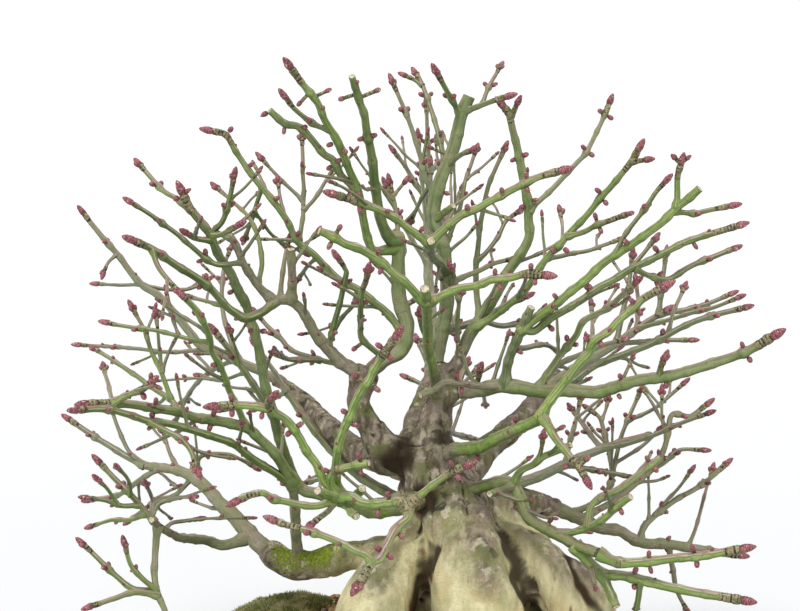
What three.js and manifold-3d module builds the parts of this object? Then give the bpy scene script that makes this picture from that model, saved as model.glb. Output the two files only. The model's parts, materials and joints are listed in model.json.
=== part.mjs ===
// Winged euonymus bonsai in winter, in a plain oval pot.
// Millimetres, +Z up, the pot's feet on z = 0, the front of the tree towards -Y.
import * as THREE from 'three';
import Module from 'manifold-3d';
import { mergeVertices } from 'three/addons/utils/BufferGeometryUtils.js';

// Driving dimensions of the pot
const POT_LENGTH = 176;
const POT_DEPTH = 130;
const POT_HEIGHT = 37;
const POT_WALL = 6;
const POT_FLOOR = 5;
const LIP_WIDTH = 3;
const LIP_HEIGHT = 7;
const FOOT_HEIGHT = 6;
const FOOT_LENGTH = 26;
const FOOT_DEPTH = 16;
const DRAIN_RADIUS = 9;
const DRAIN_SPACING = 62;
const SCREEN_SIDE = 27;
const SCREEN_THICKNESS = 1.6;
const SCREEN_SLOTS = 5;
const SCREEN_BAR = 1.4;
const CLIP_WIRE = 0.9;
const POT_SEGMENTS = 20;
const FOOT_SIDES = 10;
const FOOT_PLACE = [40, 28];
const FOOT_TURN = 0.42;
const DRAIN_SIDES = 14;
const WIRE_SIDES = 5;

// Driving dimensions of the soil and the moss on it
const SOIL_EDGE = 34;
const SOIL_CROWN = 52;
const MOUND_FULLNESS = 0.6;
const SOIL_RINGS = 4;
const GAP = 0.3;

// Driving dimensions of the trunk
const TRUNK_BASE_RADIUS = 24;
const TRUNK_FORK_RADIUS = 13;
const TRUNK_SIDES = 12;
const CORE_SHARE = 0.88;
const ROOT_SIDES = 6;
const ROOT_DEPTH = 34;
const ROOT_SWAY = 5;
const ROOT_WAVE = 0.08;
const FLARE_X = 20;
const FLARE_LEAN = 10;
const FLARE_BACK = 1.2;
const FLARE_FOOT = 40;
const FLARE_RISE = 60;

// Driving dimensions of the twigs and buds
const BUD_LENGTH = 3.1;
const BUD_RADIUS = 0.95;
const TIP_BUD_SLENDERNESS = 3.7;
const BUD_SPACING = 19;
const HIDDEN_BUD_SPACING = 24;
const BUD_SIDES = 3;
const BUD_PAIRS = 2;
const HIDDEN_BUD_PAIRS = 1;
const TWIG_CLEARANCE = 1.6;
const THIN_SIDES = 3;
const TWIG_SIDES = 4;
const LIMB_SIDES = 6;
const THIN_RADIUS = 1.0;
const LIMB_RADIUS = 2.3;
const THICK_RADIUS = 1.8;
const THICK_STEP = 13;
const THIN_STEP = 19;
const WELD = 0.08;

// The view that the crown was measured in: picture pixels, at a known distance and pitch
const VIEW_PITCH = THREE.MathUtils.degToRad(11);
const VIEW_DISTANCE = 620;
const VIEW_FOCAL_PX = 1879;
const VIEW_CENTRE_PX = [400, 305.5];
const VIEW_TARGET = new THREE.Vector3(-4.9, 0, 159);

const wasm = await Module();
wasm.setup();

// Random numbers between two bounds that come out the same in every run
function makeRandomBetween(seed) {
  const span = 2 ** 32;
  let state = seed;
  return (low, high) => {
    state = (state * 1664525 + 1013904223) % span;
    return low + (high - low) * state / span;
  };
}

// A closed three.js geometry as a solid that can be joined and cut
function solidOf(geometry) {
  const bare = geometry.clone();
  bare.deleteAttribute('normal');
  bare.deleteAttribute('uv');
  const merged = mergeVertices(bare, 1e-4);
  const index = merged.index.array;
  const triangles = [];
  for (let i = 0; i < index.length; i += 3) {
    const [a, b, c] = [index[i], index[i + 1], index[i + 2]];
    if (a !== b && b !== c && c !== a) triangles.push(a, b, c);
  }
  return new wasm.Manifold(new wasm.Mesh({
    numProp: 3,
    vertProperties: merged.attributes.position.array,
    triVerts: new Uint32Array(triangles),
  }));
}

function geometryOf(solid) {
  const mesh = solid.asOriginal().simplify(WELD).getMesh();
  const geometry = new THREE.BufferGeometry();
  geometry.setAttribute('position', new THREE.BufferAttribute(mesh.vertProperties, mesh.numProp));
  geometry.setIndex(new THREE.BufferAttribute(mesh.triVerts, 1));
  return geometry;
}

function fuse(solids) {
  return solids.reduce((whole, piece) => whole.add(piece));
}

// The largest body of a solid, without the scraps that a cut leaves
function largest(solid) {
  const bodies = solid.decompose();
  return bodies.reduce((best, body) => (body.volume() > best.volume() ? body : best));
}

// A point of the measured view, at a given depth y, as a point in space
function fromView(px, py, y) {
  const back = new THREE.Vector3(0, -Math.cos(VIEW_PITCH), Math.sin(VIEW_PITCH));
  const up = new THREE.Vector3(0, Math.sin(VIEW_PITCH), Math.cos(VIEW_PITCH));
  const eye = VIEW_TARGET.clone().addScaledVector(back, VIEW_DISTANCE);
  const ray = back.clone().negate();
  ray.addScaledVector(new THREE.Vector3(1, 0, 0), (px - VIEW_CENTRE_PX[0]) / VIEW_FOCAL_PX);
  ray.addScaledVector(up, (VIEW_CENTRE_PX[1] - py) / VIEW_FOCAL_PX);
  return eye.addScaledVector(ray, (y - eye.y) / ray.y);
}

// A tube of flat-sided sections that follows points, each with its own radius.
// Both its ends reach further by the overrun.
function tube(line, radii, sides, overrun = 0) {
  const steps = line.length - 1;
  const points = line.map((point) => point.clone());
  points[0].addScaledVector(line[0].clone().sub(line[1]).normalize(), overrun);
  points[steps].addScaledVector(line[steps].clone().sub(line[steps - 1]).normalize(), overrun);
  const geometry = new THREE.CylinderGeometry(1, 1, 1, sides, steps);
  const position = geometry.attributes.position;
  const across = [];
  const along = points.map((point, i) => {
    const next = points[Math.min(i + 1, steps)];
    return next.clone().sub(points[Math.max(i - 1, 0)]).normalize();
  });
  let side = new THREE.Vector3(0.31, 0.57, 0.76).cross(along[0]).normalize();
  along.forEach((direction) => {
    side = side.clone().addScaledVector(direction, -side.dot(direction)).normalize();
    across.push(side);
  });
  for (let i = 0; i < position.count; i += 1) {
    const step = Math.round((position.getY(i) + 0.5) * steps);
    const first = across[step];
    const second = first.clone().cross(along[step]);
    const angle = Math.atan2(position.getZ(i), position.getX(i)) + Math.PI / 4;
    const radius = Math.hypot(position.getX(i), position.getZ(i)) * radii[step];
    const vertex = points[step].clone()
      .addScaledVector(first, radius * Math.cos(angle))
      .addScaledVector(second, radius * Math.sin(angle));
    position.setXYZ(i, vertex.x, vertex.y, vertex.z);
  }
  return solidOf(geometry);
}

// A three-sided spindle from its foot to its tip, widest below its middle
function bud(foot, tip, radius) {
  const length = foot.distanceTo(tip);
  const shape = [[0, -0.5], [1, -0.12], [0, 0.5]];
  const profile = shape.map(([out, up]) => new THREE.Vector2(out * radius, up * length));
  const geometry = new THREE.LatheGeometry(profile, BUD_SIDES);
  const direction = tip.clone().sub(foot).normalize();
  const turn = new THREE.Quaternion().setFromUnitVectors(new THREE.Vector3(0, 1, 0), direction);
  geometry.applyQuaternion(turn);
  const middle = foot.clone().lerp(tip, 0.5);
  geometry.translate(middle.x, middle.y, middle.z);
  return solidOf(geometry);
}

// The trunk's own line, from below the soil to the fork
const TRUNK_LINE = [
  { at: [21, 3, 36], radius: 18 },
  { at: [20, 2, 50], radius: TRUNK_BASE_RADIUS },
  { at: [18, 1, 62], radius: 21.5 },
  { at: [16, 0, 74], radius: 19 },
  { at: [13.5, 0, 87], radius: 17 },
  { at: [8, 0, 98], radius: 15.5 },
  { at: [4, 0, 106], radius: TRUNK_FORK_RADIUS },
  { at: [1, 0, 112], radius: 8 },
];

const TRUNK_POINTS = TRUNK_LINE.map(({ at }) => new THREE.Vector3(...at));

// The woody limbs, which grow from the trunk.
// Each row: name, parent, root and tip radius, lean, end, route in the view, buds in the view.
// Lean is how much further from the eye the tip is than the root, in millimetres.
// Routes and buds are x and y in turn, in pixels of the view.
// The end is cut, or bud (a bud on the tip and pairs along the twig), or tip (a bud on the tip alone).
const LIMBS = [
  ['left_limb', 'trunk', 6.8, 4.4, -4, 'cut', [405, 478, 390, 452, 375, 432, 360, 408, 359, 386], []],
  ['right_limb', 'trunk', 6.6, 4.4, 5, 'cut', [425, 475, 432, 440, 437, 410, 444, 388], []],
  ['mossy_limb', 'trunk', 7.5, 4.6, 6, 'cut',
    [425, 552, 385, 553, 350, 555, 320, 562, 295, 566, 275, 556], []],
  ['brown_limb', 'trunk', 5, 3.2, 26, 'cut', [450, 505, 490, 500, 520, 497, 550, 507], []],
  ['back_left_limb', 'trunk', 6, 3, 60, 'cut', [400, 490, 360, 452, 318, 415, 285, 385], []],
  ['back_limb', 'trunk', 6, 3, 62, 'cut', [415, 490, 412, 440, 430, 385, 436, 335], []],
  ['back_right_limb', 'trunk', 6, 3, 64, 'cut', [440, 495, 480, 455, 520, 420, 556, 372], []],
];

// The sprays. The first stem of each grows from a limb or the trunk, which holds its first seat millimetres.
const SPRAYS = {
  spray_upper_left: { seat: 7, stems: [
    ['grey_arm', 'left_limb', 2.5, 1.45, -12, 'cut',
      [359, 386, 357, 373, 341, 362, 324, 344, 310, 324, 300, 308, 288, 300, 272, 300], []],
    ['grey_arm_tip', 'grey_arm', 1.39, 1.21, -8, 'cut',
      [272, 300, 258, 285, 243, 262, 236, 246, 230, 236], []],
    ['grey_arm_knob', 'grey_arm', 1.39, 1.39, -5, 'cut', [290, 300, 292, 275, 291, 250], []],
    ['arm_twig_long', 'grey_arm', 1.39, 1.11, -32, 'bud',
      [275, 300, 262, 312, 246, 318, 233, 311, 221, 300, 208, 286, 190, 274, 170, 261, 152, 249,
        134, 241], []],
    ['arm_twig_cross', 'arm_twig_long', 0.85, 0.7, -5, 'bud',
      [150, 248, 159, 268, 170, 282, 177, 290], []],
    ['arm_twig_far', 'grey_arm', 0.9, 0.7, 24, 'bud',
      [341, 362, 328, 362, 294, 351, 280, 338, 268, 327, 257, 314], []],
    ['arm_twig_small', 'arm_twig_far', 0.8, 0.7, -12, 'bud',
      [322, 362, 310, 360, 288, 359, 273, 353], []],
    ['tip_twig_left', 'grey_arm_tip', 0.85, 0.65, -14, 'bud',
      [243, 262, 221, 265, 208, 260, 198, 252, 177, 234, 154, 217, 132, 203], []],
    ['tip_twig_up', 'grey_arm_tip', 0.9, 0.7, -4, 'bud',
      [231, 238, 215, 231, 222, 222, 229, 201, 234, 177], []],
    ['arm_shoot', 'grey_arm', 0.9, 0.8, -14, 'bud', [327, 348, 345, 280, 345, 269, 338, 258], []],
    ['arm_far_up', 'grey_arm', 0.85, 0.6, 14, 'tip', [282, 300, 281, 285, 284, 262, 289, 240], []],
    ['arm_far_side', 'arm_twig_long', 0.8, 0.6, 16, 'tip', [246, 318, 232, 309, 212, 303, 190, 297], []],
    ['tip_far', 'grey_arm_tip', 0.8, 0.6, 22, 'tip',
      [258, 285, 262, 262, 258, 238, 248, 217, 234, 203, 217, 188], []],
  ] },
  spray_crest_left: { seat: 8, stems: [
    ['crest_arm', 'left_limb', 3, 2.3, 6, 'cut',
      [360, 388, 380, 362, 402, 349, 407, 325, 400, 300, 398, 270, 400, 240], []],
    ['crest_long', 'crest_arm', 1.39, 0.95, -6, 'bud',
      [405, 337, 387, 313, 374, 302, 358, 289, 342, 281, 327, 268, 314, 254, 299, 243, 287, 222, 273, 201,
        262, 188, 247, 168, 235, 150, 226, 135, 212, 131],
      [252, 164, 276, 199, 298, 234, 231, 129]],
    ['crest_long_drop', 'crest_long', 0.7, 0.6, 12, 'bud', [262, 188, 254, 211, 250, 225, 245, 238], []],
    ['crest_long_drop_twig', 'crest_long_drop', 0.65, 0.6, 6, 'bud', [254, 211, 270, 233, 285, 246], []],
    ['crest_tall', 'crest_arm', 1.56, 1.08, -32, 'bud',
      [399, 246, 386, 250, 373, 250, 367, 236, 363, 215, 358, 190, 349, 169, 338, 142, 325, 120, 317, 102,
        302, 83, 291, 68],
      [299, 104, 329, 90, 343, 150, 329, 145]],
    ['crest_cut', 'crest_tall', 1.27, 1.14, -11, 'cut',
      [357, 188, 342, 176, 333, 160, 324, 154, 310, 137, 298, 127, 285, 124, 270, 111],
      [263, 115, 284, 131, 303, 128, 337, 162, 329, 168]],
    ['crest_knob', 'crest_tall', 0.9, 0.8, -4, 'bud', [331, 131, 314, 124, 296, 110, 286, 98], []],
    ['crest_middle', 'crest_arm', 1.94, 1.11, -36, 'cut',
      [400, 243, 390, 238, 384, 228, 380, 215, 377, 198, 374, 176, 372, 156, 368, 137, 365, 116, 360, 102,
        355, 86, 352, 77],
      [341, 99, 378, 90, 372, 136, 361, 139]],
    ['crest_dark', 'crest_arm', 0.9, 0.6, 4, 'bud',
      [400, 242, 398, 231, 396, 212, 393, 196, 390, 183], []],
    ['crest_dark_fork', 'crest_dark', 0.6, 0.55, 2, 'bud', [393, 197, 399, 190, 404, 183], []],
    ['crest_front_shoot', 'crest_arm', 1.08, 0.85, -26, 'bud',
      [385, 358, 374, 350, 362, 338, 361, 324, 361, 306, 362, 292, 366, 281, 368, 271],
      [357, 302, 366, 302, 354, 349]],
    ['crest_far_up', 'crest_long', 0.8, 0.6, 26, 'tip', [300, 243, 303, 211, 303, 170, 302, 138], []],
    ['crest_far_left', 'crest_far_up', 0.7, 0.55, 6, 'tip', [303, 200, 278, 176, 262, 159], []],
    ['crest_far_right', 'crest_far_up', 0.7, 0.55, 8, 'tip', [303, 214, 315, 198, 334, 168], []],
    ['crest_far_small', 'crest_long', 0.6, 0.5, 10, 'tip', [287, 222, 281, 205, 278, 182], []],
    ['crest_long_low', 'crest_long', 0.7, 0.6, 8, 'tip', [316, 256, 308, 266, 298, 279], []],
    ['crest_long_down', 'crest_long', 0.75, 0.6, 16, 'tip', [360, 290, 353, 305, 341, 319, 331, 339], []],
    ['crest_arm_stub', 'crest_arm', 0.9, 0.7, 4, 'tip', [403, 308, 410, 303, 417, 298], []],
  ] },
  spray_crest: { seat: 13, stems: [
    ['crown_arm', 'right_limb', 2.6, 2.1, 2, 'cut',
      [443, 391, 438, 372, 437, 355, 442, 330, 447, 300, 446, 270, 443, 245, 434, 220, 436, 198, 442, 176,
        449, 161, 456, 140, 461, 117, 469, 97],
      [429, 147, 444, 193]],
    ['crown_tip_left', 'crown_arm', 1.08, 0.95, -8, 'bud', [461, 117, 452, 100, 446, 89, 437, 73], []],
    ['crown_tip_right', 'crown_arm', 1.08, 0.95, -6, 'bud', [464, 110, 482, 105, 496, 100, 506, 97], []],
    ['crown_tip_far', 'crown_tip_right', 0.7, 0.6, 16, 'bud', [483, 105, 491, 82, 500, 67], []],
    ['crown_side', 'crown_arm', 1, 0.85, -9, 'bud', [448, 163, 460, 156, 472, 150], []],
    ['crown_stub', 'crown_arm', 1.21, 1.14, -6, 'cut', [436, 220, 453, 206], []],
    ['crown_back', 'crown_arm', 1.08, 0.75, 16, 'bud',
      [437, 228, 432, 190, 426, 180, 421, 159, 412, 128, 400, 99, 393, 83], []],
    ['crown_back_fork', 'crown_arm', 0.9, 0.7, 30, 'bud',
      [444, 172, 442, 148, 433, 116, 423, 86, 416, 74], []],
    ['crown_back_head', 'crown_back_fork', 0.7, 0.6, 4, 'bud', [424, 88, 415, 80, 406, 76], []],
    ['crown_node', 'crown_arm', 1.74, 1.45, -44, 'cut', [446, 272, 438, 262, 430, 252, 431, 241], []],
    ['crown_left', 'crown_node', 1.33, 1.11, -12, 'bud',
      [431, 243, 418, 235, 408, 228, 394, 218, 374, 208, 355, 201, 346, 198, 336, 195],
      [422, 229, 386, 212, 359, 195, 361, 209]],
    ['crown_right', 'crown_node', 1.33, 1.11, -10, 'bud',
      [431, 243, 437, 236, 449, 225, 463, 214, 478, 208, 492, 200, 512, 189, 520, 185, 535, 178, 548, 174,
        560, 171],
      [467, 209, 502, 192, 526, 175, 527, 189]],
    ['crown_back_low', 'crown_back', 0.7, 0.6, 6, 'tip', [430, 188, 424, 195, 411, 221], []],
    ['crown_far', 'crown_arm', 0.8, 0.6, 32, 'tip',
      [446, 250, 452, 230, 460, 208, 466, 180, 476, 150], []],
    ['crown_level', 'crown_arm', 1, 0.7, 10, 'tip',
      [446, 284, 465, 276, 480, 270, 495, 263, 512, 259], []],
    ['crown_low_twig', 'crown_arm', 0.9, 0.8, -8, 'tip', [438, 350, 428, 341, 422, 328, 420, 315], []],
    ['level_arm', 'crown_arm', 1.33, 0.9, 12, 'tip',
      [442, 330, 461, 326, 482, 320, 505, 306, 525, 297], []],
    ['level_low', 'level_arm', 0.95, 0.8, 10, 'tip', [482, 320, 500, 326, 520, 323, 540, 318], []],
  ] },
  spray_crest_front: { seat: 8, stems: [
    ['front_arm', 'right_limb', 1.94, 1.45, -56, 'cut',
      [440, 398, 434, 372, 428, 346, 428, 330, 427, 313, 426, 302, 425, 289], []],
    ['front_left', 'front_arm', 1.39, 1.27, -12, 'cut',
      [426, 302, 419, 297, 408, 285, 394, 274, 380, 261, 362, 250, 345, 244, 334, 237, 320, 231],
      [340, 227, 329, 247, 378, 253, 381, 270]],
    ['front_right', 'front_arm', 1.39, 1.14, -16, 'bud',
      [426, 302, 435, 299, 447, 293, 461, 288, 478, 285, 492, 279, 503, 278, 514, 277, 527, 274, 543, 275],
      [495, 272, 500, 288, 535, 281, 531, 266]],
  ] },
  spray_upper_right: { seat: 14, stems: [
    ['right_arm', 'right_limb', 2.2, 1.08, 4, 'bud',
      [445, 391, 455, 366, 468, 338, 480, 318, 495, 295, 508, 272, 521, 253, 529, 236, 529, 221, 529, 205,
        527, 196, 523, 176, 518, 151, 513, 131, 509, 114, 504, 107],
      [525, 155, 513, 160, 534, 200, 522, 207]],
    ['right_arm_fork', 'right_arm', 0.9, 0.8, -3, 'bud', [510, 117, 514, 110, 517, 104], []],
    ['right_thin', 'right_arm', 0.8, 0.6, -12, 'bud',
      [459, 356, 458, 324, 459, 303, 457, 285, 451, 268], []],
    ['right_tall', 'right_arm', 1, 0.8, 14, 'bud',
      [529, 212, 536, 204, 548, 193, 562, 179, 578, 162, 587, 151, 598, 130, 605, 114, 609, 104],
      [583, 147, 592, 155, 600, 111, 611, 118]],
    ['right_long', 'right_arm', 1.39, 1, -22, 'bud',
      [475, 327, 495, 315, 525, 290, 546, 259, 560, 245, 570, 233, 587, 215, 601, 197, 609, 189, 623, 172,
        631, 162, 638, 150],
      [555, 249, 567, 251, 606, 203, 597, 190]],
    ['right_long_fork', 'right_long', 0.9, 0.8, -4, 'bud', [630, 163, 638, 161, 645, 160], []],
    ['right_long_side', 'right_long', 1, 0.85, -13, 'bud',
      [567, 237, 584, 232, 598, 225, 616, 218, 628, 214], [595, 215, 601, 231]],
    ['right_mid', 'right_arm', 1.08, 0.7, 18, 'tip',
      [480, 318, 476, 290, 476, 267, 479, 238, 482, 214, 489, 184, 504, 150], []],
    ['right_mid_side', 'right_mid', 0.8, 0.6, 10, 'tip',
      [477, 262, 486, 253, 498, 237, 506, 221, 518, 212], []],
    ['right_far_level', 'right_long', 0.75, 0.6, 20, 'tip', [546, 259, 562, 256, 590, 250, 618, 240], []],
    ['right_far_small', 'right_long', 0.65, 0.55, 10, 'tip', [563, 243, 562, 225, 560, 212], []],
  ] },
  spray_right: { seat: 8, stems: [
    ['long_arm', 'right_limb', 2.7, 1.45, -36, 'bud',
      [443, 396, 462, 391, 480, 390, 500, 386, 521, 388, 542, 391, 573, 391, 598, 392, 619, 386, 640, 380,
        668, 376, 704, 366, 745, 352, 772, 337],
      [619, 396, 620, 376, 666, 386, 742, 344, 750, 360]],
    ['long_arm_up', 'long_arm', 0.9, 0.85, -3, 'bud', [660, 377, 660, 368, 664, 359], []],
    ['long_arm_stub', 'long_arm', 1.14, 1.08, -20, 'cut',
      [498, 387, 480, 386, 461, 383, 444, 383, 433, 390, 421, 395], [462, 392, 457, 376]],
    ['rise', 'long_arm', 1.56, 1.33, -10, 'cut',
      [503, 386, 508, 362, 515, 344, 522, 327, 531, 308], [509, 333, 520, 352]],
    ['rise_left', 'rise', 1.45, 1.33, -20, 'cut',
      [522, 333, 542, 314, 556, 304, 570, 292, 584, 281, 601, 265, 619, 253, 633, 243, 647, 233, 662, 222,
        676, 208, 689, 198, 699, 189],
      [627, 243, 590, 287, 555, 296]],
    ['rise_up', 'rise_left', 0.95, 0.85, -4, 'bud',
      [677, 207, 677, 197, 678, 176, 681, 164], [673, 156, 689, 157]],
    ['rise_side', 'rise_left', 0.9, 0.8, -4, 'bud', [673, 211, 695, 213, 704, 211, 730, 206], []],
    ['rise_brown', 'rise_left', 0.85, 0.7, -9, 'bud',
      [615, 255, 626, 233, 640, 215, 647, 205, 655, 193, 665, 182], []],
    ['rise_right', 'rise', 1.27, 1, 4, 'bud',
      [524, 329, 534, 331, 549, 319, 563, 311, 584, 298, 598, 288, 616, 279, 630, 270, 646, 262, 665, 252,
        681, 244, 704, 236, 737, 226],
      [586, 287, 552, 329, 655, 248, 696, 247]],
    ['rise_low', 'rise_right', 0.95, 0.8, 12, 'bud',
      [636, 268, 650, 276, 668, 279, 688, 267, 704, 260, 733, 249], []],
    ['long_arm_front', 'long_arm', 1.27, 1, 6, 'bud',
      [538, 391, 550, 370, 566, 348, 576, 335, 584, 321, 605, 310, 620, 297, 634, 284], []],
    ['long_arm_rear', 'long_arm', 1.27, 0.9, 14, 'bud',
      [547, 392, 574, 381, 584, 373, 598, 364, 627, 353, 654, 342, 682, 327, 704, 318, 743, 308], []],
    ['rear_up', 'long_arm_rear', 0.75, 0.6, 16, 'tip', [664, 338, 669, 330, 675, 309, 684, 288], []],
    ['long_arm_knob', 'long_arm', 0.9, 0.8, -3, 'tip', [474, 390, 478, 378, 480, 371], []],
    ['long_arm_far', 'long_arm', 1.08, 0.7, 22, 'tip',
      [538, 390, 553, 369, 577, 356, 600, 346, 622, 340], []],
    ['rise_far', 'rise', 1, 0.7, 14, 'tip', [513, 350, 525, 348, 545, 344, 558, 352], []],
    ['rise_right_twig', 'rise_right', 0.75, 0.65, 6, 'tip', [630, 270, 643, 254, 654, 240], []],
  ] },
  spray_right_front: { seat: 12, stems: [
    ['green_arm', 'trunk', 2.4, 1.74, -62, 'cut',
      [436, 462, 450, 452, 462, 449, 480, 447, 500, 437, 518, 429, 534, 422, 542, 417],
      [478, 457, 515, 419]],
    ['green_up', 'green_arm', 1.39, 1.11, -12, 'bud',
      [541, 418, 548, 404, 560, 388, 571, 374, 580, 362, 590, 351, 593, 341, 608, 331, 619, 320, 630, 311,
        643, 299, 653, 293, 662, 288],
      [632, 301, 640, 313, 586, 339, 602, 345]],
    ['green_down', 'green_arm', 1.27, 1, -9, 'bud',
      [541, 417, 550, 428, 555, 437, 566, 451, 574, 461, 580, 468, 585, 477],
      [588, 458, 566, 467, 563, 427]],
  ] },
  spray_right_low_front: { seat: 8, stems: [
    ['low_arm', 'trunk', 2.2, 1.74, -50, 'cut',
      [480, 485, 497, 482, 513, 485, 521, 500, 528, 517, 546, 528, 563, 538, 578, 546, 598, 553],
      [551, 519]],
    ['low_upper', 'low_arm', 1.56, 1.21, -10, 'bud',
      [596, 552, 616, 562, 640, 562, 675, 558, 704, 555, 741, 549],
      [649, 553, 651, 571, 692, 547, 697, 565]],
    ['low_lower', 'low_arm', 1.74, 1.33, -18, 'bud',
      [574, 544, 590, 563, 605, 574, 626, 576, 654, 583, 675, 588, 704, 594, 741, 600],
      [636, 569, 634, 586]],
    ['low_down', 'low_lower', 1.39, 1.33, -8, 'cut', [601, 572, 608, 588, 616, 606], []],
    ['low_inner', 'low_arm', 1.21, 1.14, -12, 'cut',
      [512, 484, 521, 471, 534, 464, 542, 457, 556, 451, 570, 445], []],
    ['low_inner_twig', 'low_inner', 0.7, 0.6, -4, 'bud', [537, 461, 541, 450, 543, 437], []],
    ['low_stub', 'low_arm', 1.27, 1.21, -10, 'cut', [513, 486, 503, 489, 490, 494], []],
    ['low_rise', 'low_arm', 1.21, 1.14, -16, 'cut',
      [560, 536, 578, 531, 592, 525, 606, 516, 618, 505, 630, 497], [621, 511, 611, 503]],
    ['low_rise_far', 'low_rise', 1.14, 1.08, 6, 'cut',
      [588, 527, 590, 508, 600, 497, 616, 490, 634, 478, 651, 464, 660, 458], [647, 458, 656, 470]],
    ['low_drop', 'low_lower', 1, 0.8, 6, 'cut', [640, 580, 638, 596, 635, 614], []],
  ] },
  spray_right_low: { seat: 7, stems: [
    ['brown_arm', 'brown_limb', 2.6, 1.27, 20, 'bud',
      [546, 505, 560, 510, 580, 518, 598, 527, 619, 531, 640, 542, 668, 544, 696, 549, 738, 555], []],
    ['brown_up', 'brown_arm', 1.14, 0.9, 16, 'bud',
      [640, 541, 643, 528, 654, 516, 675, 500, 704, 483, 725, 465], []],
    ['brown_rise', 'brown_arm', 1.33, 0.9, 14, 'bud',
      [585, 520, 592, 513, 615, 500, 640, 480, 660, 458, 668, 435, 672, 415, 690, 416, 706, 405], []],
    ['brown_rise_twig', 'brown_rise', 0.7, 0.6, 5, 'bud', [667, 440, 662, 415, 662, 393], []],
    ['brown_rise_side', 'brown_rise', 0.8, 0.7, 5, 'bud', [647, 474, 665, 462, 680, 450, 702, 450], []],
    ['grey_rise', 'brown_arm', 1.14, 0.8, 30, 'bud',
      [572, 515, 600, 500, 610, 485, 612, 465, 604, 432, 600, 418, 590, 410], []],
    ['grey_rise_side', 'grey_rise', 0.8, 0.7, 14, 'bud', [611, 478, 622, 435, 632, 410, 640, 392], []],
    ['grey_rise_tip', 'grey_rise', 0.7, 0.6, 4, 'bud', [601, 420, 606, 410, 608, 400], []],
    ['grey_side_out', 'grey_rise_side', 0.75, 0.6, 4, 'tip',
      [628, 424, 647, 412, 661, 403, 683, 384], []],
    ['grey_out', 'grey_rise', 0.75, 0.6, 4, 'tip', [614, 466, 640, 448, 659, 430], []],
    ['brown_up_out', 'brown_up', 0.75, 0.6, 6, 'tip', [654, 516, 662, 505, 677, 489, 690, 472], []],
    ['brown_far_up', 'brown_arm', 0.8, 0.6, 20, 'tip', [690, 548, 697, 524, 706, 490, 712, 470], []],
    ['brown_drop', 'brown_arm', 1.08, 0.8, 10, 'tip', [668, 544, 672, 565, 677, 590, 686, 609], []],
  ] },
  spray_left_low: { seat: 7, stems: [
    ['mossy_arm', 'mossy_limb', 3.4, 1.39, 34, 'cut',
      [279, 559, 270, 552, 255, 540, 235, 518, 215, 497, 200, 482, 185, 473, 165, 468, 145, 466], []],
    ['mossy_tip_up', 'mossy_arm', 1.21, 0.9, 12, 'bud', [146, 466, 125, 455, 94, 436, 70, 420], []],
    ['mossy_tip_down', 'mossy_arm', 1.14, 0.9, 14, 'bud', [160, 467, 140, 480, 118, 495, 90, 500], []],
    ['mossy_low', 'mossy_arm', 1.94, 1.08, -4, 'cut',
      [248, 533, 236, 542, 222, 545, 205, 540, 180, 537, 165, 530, 152, 520], []],
    ['mossy_low_up', 'mossy_low', 1, 0.8, 6, 'bud', [154, 521, 140, 505, 120, 484, 100, 463], []],
    ['mossy_low_down', 'mossy_low', 1.21, 1, -6, 'cut',
      [160, 526, 156, 545, 154, 570, 157, 590, 165, 611], []],
    ['mossy_low_side', 'mossy_low_down', 0.9, 0.7, 6, 'bud',
      [156, 592, 132, 588, 114, 573, 95, 555, 84, 545], []],
    ['mossy_low_hook', 'mossy_low_down', 0.9, 0.7, -4, 'tip',
      [156, 588, 142, 578, 131, 564, 125, 545], []],
    ['mossy_low_base', 'mossy_low_down', 1.08, 0.7, -8, 'tip',
      [158, 594, 135, 592, 115, 598, 92, 606], []],
    ['mossy_low_in', 'mossy_low', 0.7, 0.55, 10, 'tip', [166, 531, 172, 523, 185, 521, 199, 519], []],
    ['mossy_up_in', 'mossy_low_up', 0.7, 0.55, -8, 'tip', [150, 517, 160, 504, 179, 498, 193, 497], []],
    ['mossy_up_level', 'mossy_low_up', 0.8, 0.6, -10, 'tip', [140, 505, 122, 506, 104, 500, 88, 498], []],
    ['mossy_up_low', 'mossy_low_up', 0.8, 0.6, 10, 'tip', [146, 512, 130, 520, 112, 520, 92, 526], []],
    ['mossy_up_front', 'mossy_low_up', 0.75, 0.6, -14, 'tip', [130, 494, 128, 480, 118, 468], []],
    ['mossy_up_high', 'mossy_low_up', 0.75, 0.6, 8, 'tip', [150, 517, 152, 500, 146, 484], []],
    ['mossy_level_up', 'mossy_up_level', 0.7, 0.55, -8, 'tip', [118, 505, 108, 490, 98, 480], []],
    ['mossy_side', 'mossy_arm', 0.9, 0.8, 10, 'bud', [192, 477, 175, 495, 158, 500, 130, 520], []],
    ['mossy_far_up', 'mossy_arm', 0.8, 0.6, 8, 'tip', [150, 466, 131, 453, 119, 430, 111, 408], []],
    ['mossy_far_short', 'mossy_arm', 0.75, 0.6, 10, 'tip', [180, 471, 171, 455, 163, 431], []],
    ['mossy_far_bend', 'mossy_arm', 0.8, 0.6, 14, 'tip',
      [203, 484, 198, 466, 204, 455, 230, 455, 254, 467], []],
  ] },
  spray_left: { seat: 8, stems: [
    ['rise_low_left', 'mossy_limb', 2.1, 1.56, -14, 'cut',
      [300, 565, 297, 545, 296, 525, 295, 505, 292, 482], []],
    ['sweep', 'rise_low_left', 1.94, 1.14, -46, 'bud',
      [293, 484, 278, 458, 260, 439, 246, 428, 218, 421, 197, 418, 176, 411, 155, 408, 128, 404, 108, 403,
        88, 404],
      [156, 400, 210, 427, 214, 412, 152, 417]],
    ['sweep_up', 'sweep', 1.08, 0.95, -6, 'bud',
      [115, 403, 125, 396, 141, 390, 150, 383], [151, 375, 160, 388, 144, 397]],
    ['sweep_low', 'rise_low_left', 1.33, 0.9, -62, 'bud',
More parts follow.
